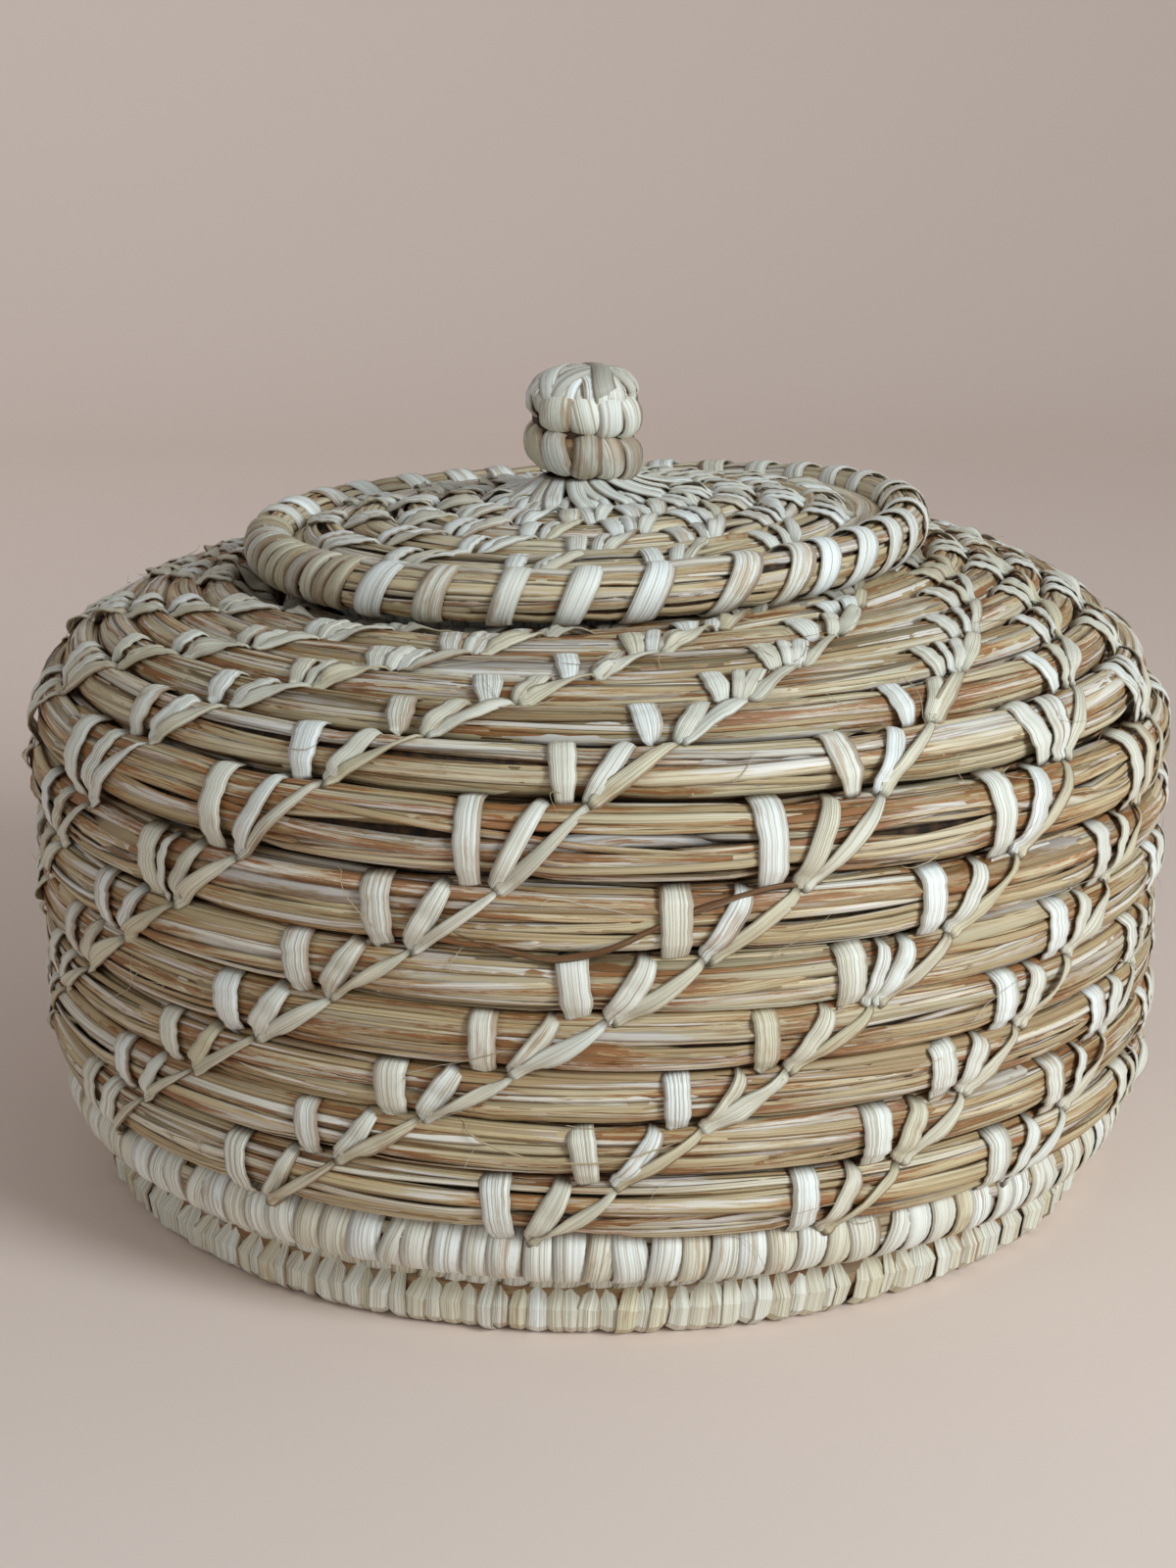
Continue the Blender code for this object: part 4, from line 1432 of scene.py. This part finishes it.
def make_seat():
    draw = np.random.default_rng(23)
    core_tube("lid_seat_core", lid_seat, "lid", "palm", material=GRASS)
    strips = Strips(14, 2)
    count = 58
    for index in range(count):
        turn = (index + 0.5) / count
        wrap(lid_seat, turn, strips, draw, 0.0060, slant=0.0008, crown=0.0004)
    strips.build("lid_seat_wraps", PALM, "lid", "palm", ["lid_seat_ring"])


def make_knob():
    """A wound neck, a bun of crossing strips on it and a fan of strips at its foot."""
    draw = np.random.default_rng(24)
    core_tube("knob_winding_core", knob, "lid", "palm", share=0.9, material=GRASS)
    strips = Strips(16, 4)
    first, last = knob.span
    per_turn = 12
    for index in range(round((last - first) * per_turn)):
        turn = first + (index + 0.5 + draw.normal(0, 0.05)) / per_turn
        width = 0.0066 * draw.uniform(0.85, 1.12)
        slant = draw.normal(0.0006, 0.0005)
        lift = 0.0003 + draw.uniform(0, 0.0006)
        wrap(knob, turn, strips, draw, width, slant=slant, crown=0.0010, lift=lift, reach=150.0,
             tone=0.42, stain_and_shade=draw.uniform(-0.1, 0.6))
    strips.build("knob_wraps", PALM, "lid", "palm", ["knob_coil"])

    # A filler inside the bun in the core's near-black: painted shade between the crossing strips
    fill = Tubes(12)
    place = np.linspace(0.0, 1.0, 13)
    height = KNOB_BOTTOM + (BUN_HEIGHT + BUN_RISE - KNOB_FILL_DROP - KNOB_BOTTOM) * place
    width = KNOB_FILL_WIDTH * np.sqrt(np.clip(1.0 - (2.0 * place - 1.0) ** 8, 0.0, 1.0))
    away = np.tile([0.0, -1.0, 0.0], (len(place), 1))
    fill.add(seat_lid(join(0.0, 0.0, height)), away, width, 1.0, (0.5, 0.0, 1.0), 1.0)
    fill.build("knob_fill", CORE_SHADE, "lid", "palm")

    strips = Strips(18, 4)
    for index in range(BUN_STRIPS):
        growth = index / BUN_STRIPS
        heading = index * math.pi * 0.382 + draw.normal(0, 0.2)
        crossing(
            strips, draw, heading, BUN_RADIUS + 0.0012 * growth, BUN_HEIGHT,
            BUN_RISE + 0.0008 * growth, seat_lid, width=0.0046,
            shift=draw.uniform(-0.0060, 0.0060), over=draw.uniform(92.0, 130.0),
        )
    strips.build("knob_top_strips", PALM, "lid", "palm", ["knob_core"])

    strips = Strips(10, 3)
    place = np.linspace(0.0, 1.0, strips.along + 1)
    away = np.tile([0.0, 0.0, 1.0], (len(place), 1))
    for index in range(FOOT_FAN_STRIPS):
        heading = TAU * (index + draw.normal(0, 0.15)) / FOOT_FAN_STRIPS
        reach = draw.uniform(0.0165, 0.0245)
        radius = FOOT_FAN_START + (reach - FOOT_FAN_START) * place
        swirl = heading + 0.30 * place
        height = lid_plate_height(radius) + 0.0054 + 0.0030 * (1 - place) ** 2
        height = height - 0.0018 * smooth_step((place - 0.75) / 0.25)
        line = seat_lid(join(radius * np.cos(swirl), radius * np.sin(swirl), height))
        width = 0.0042 * draw.uniform(0.7, 1.2)
        shade = strip_shade(draw, len(place), 0.08, 0.12)
        strips.add(line, away, width, 0.0004, shade, draw.uniform(0, SEEDS))
    strips.build("knob_foot_strips", PALM, "lid", "palm")


make_wall()
make_band()
make_foot()
make_base()
make_loose_fibres()
make_rim()
make_plate()
make_seat()
make_knob()


# Floor, light and camera


def make_room():
    """A floor that curves up into a backdrop, swept from one line."""
    finish = Finish("pale_ground", roughness=0.75)
    finish.shader.inputs["Base Color"].default_value = GROUND_TONE
    shape = bmesh.new()
    start = shape.verts.new((GROUND_LEFT, GROUND_FRONT, 0.0))
    end = shape.verts.new((GROUND_LEFT, GROUND_BACK, 0.0))
    shape.edges.new((start, end))
    corner = bmesh.ops.spin(
        shape, geom=[end], cent=(0.0, GROUND_BACK, CORNER_RADIUS), axis=(1.0, 0.0, 0.0),
        angle=math.pi / 2, steps=16,
    )
    tip = [item for item in corner["geom_last"] if isinstance(item, bmesh.types.BMVert)][0]
    high = bmesh.ops.extrude_vert_indiv(shape, verts=[tip])["verts"]
    bmesh.ops.translate(shape, verts=high, vec=(0.0, 0.0, BACKDROP_RISE))
    bmesh.ops.extrude_edge_only(shape, edges=shape.edges[:])
    shape.verts.ensure_lookup_table()
    half = len(shape.verts) // 2
    bmesh.ops.translate(shape, verts=shape.verts[half:], vec=(GROUND_WIDTH, 0.0, 0.0))
    bmesh.ops.recalc_face_normals(shape, faces=shape.faces)
    mesh = bpy.data.meshes.new("ground")
    shape.to_mesh(mesh)
    shape.free()
    mesh.shade_smooth()
    mesh.materials.append(finish.material)
    made = bpy.data.objects.new("ground", mesh)
    bpy.context.collection.objects.link(made)


def add_lamp(name, place, size, power, tint, target):
    """A round lamp that is turned to a target."""
    lamp = bpy.data.lights.new(name, "AREA")
    lamp.shape = "DISK"
    lamp.size = size
    lamp.energy = power
    lamp.color = tint
    made = bpy.data.objects.new(name, lamp)
    bpy.context.collection.objects.link(made)
    made.location = place
    x, y, z = np.array(target) - np.array(place)
    made.rotation_euler = (math.atan2(math.hypot(x, y), -z), 0.0, math.atan2(y, x) - math.pi / 2)


def make_light():
    """Three lamps, and a world that is seen paler than it lights the basket."""
    world = bpy.data.worlds.new("room_light")
    tree = Tree(world, "Background")
    rays = tree.node("ShaderNodeLightPath")
    kinds = ("Is Camera Ray", "Is Glossy Ray", "Is Transmission Ray")
    seen = sum(Wire(tree, rays.outputs[kind]) for kind in kinds)
    light = tuple(ROOM_LIGHT * value for value in ROOM_TINT) + (1.0,)
    tree.feed("Color", tree.mix(seen, light, ROOM_TONE))
    bpy.context.scene.world = world
    for lamp in LAMPS:
        add_lamp(*lamp)
    bpy.context.scene.view_settings.view_transform = "Standard"


def make_camera():
    data = bpy.data.cameras.new("camera")
    data.sensor_width = CAMERA_SENSOR
    data.lens = CAMERA_LENS
    data.clip_start = CAMERA_NEAREST
    made = bpy.data.objects.new("camera", data)
    bpy.context.collection.objects.link(made)
    made.location = CAMERA_PLACE
    made.rotation_mode = "XYZ"
    made.rotation_euler = [math.radians(angle) for angle in CAMERA_DEGREES]
    bpy.context.scene.camera = made


make_room()
make_light()
make_camera()
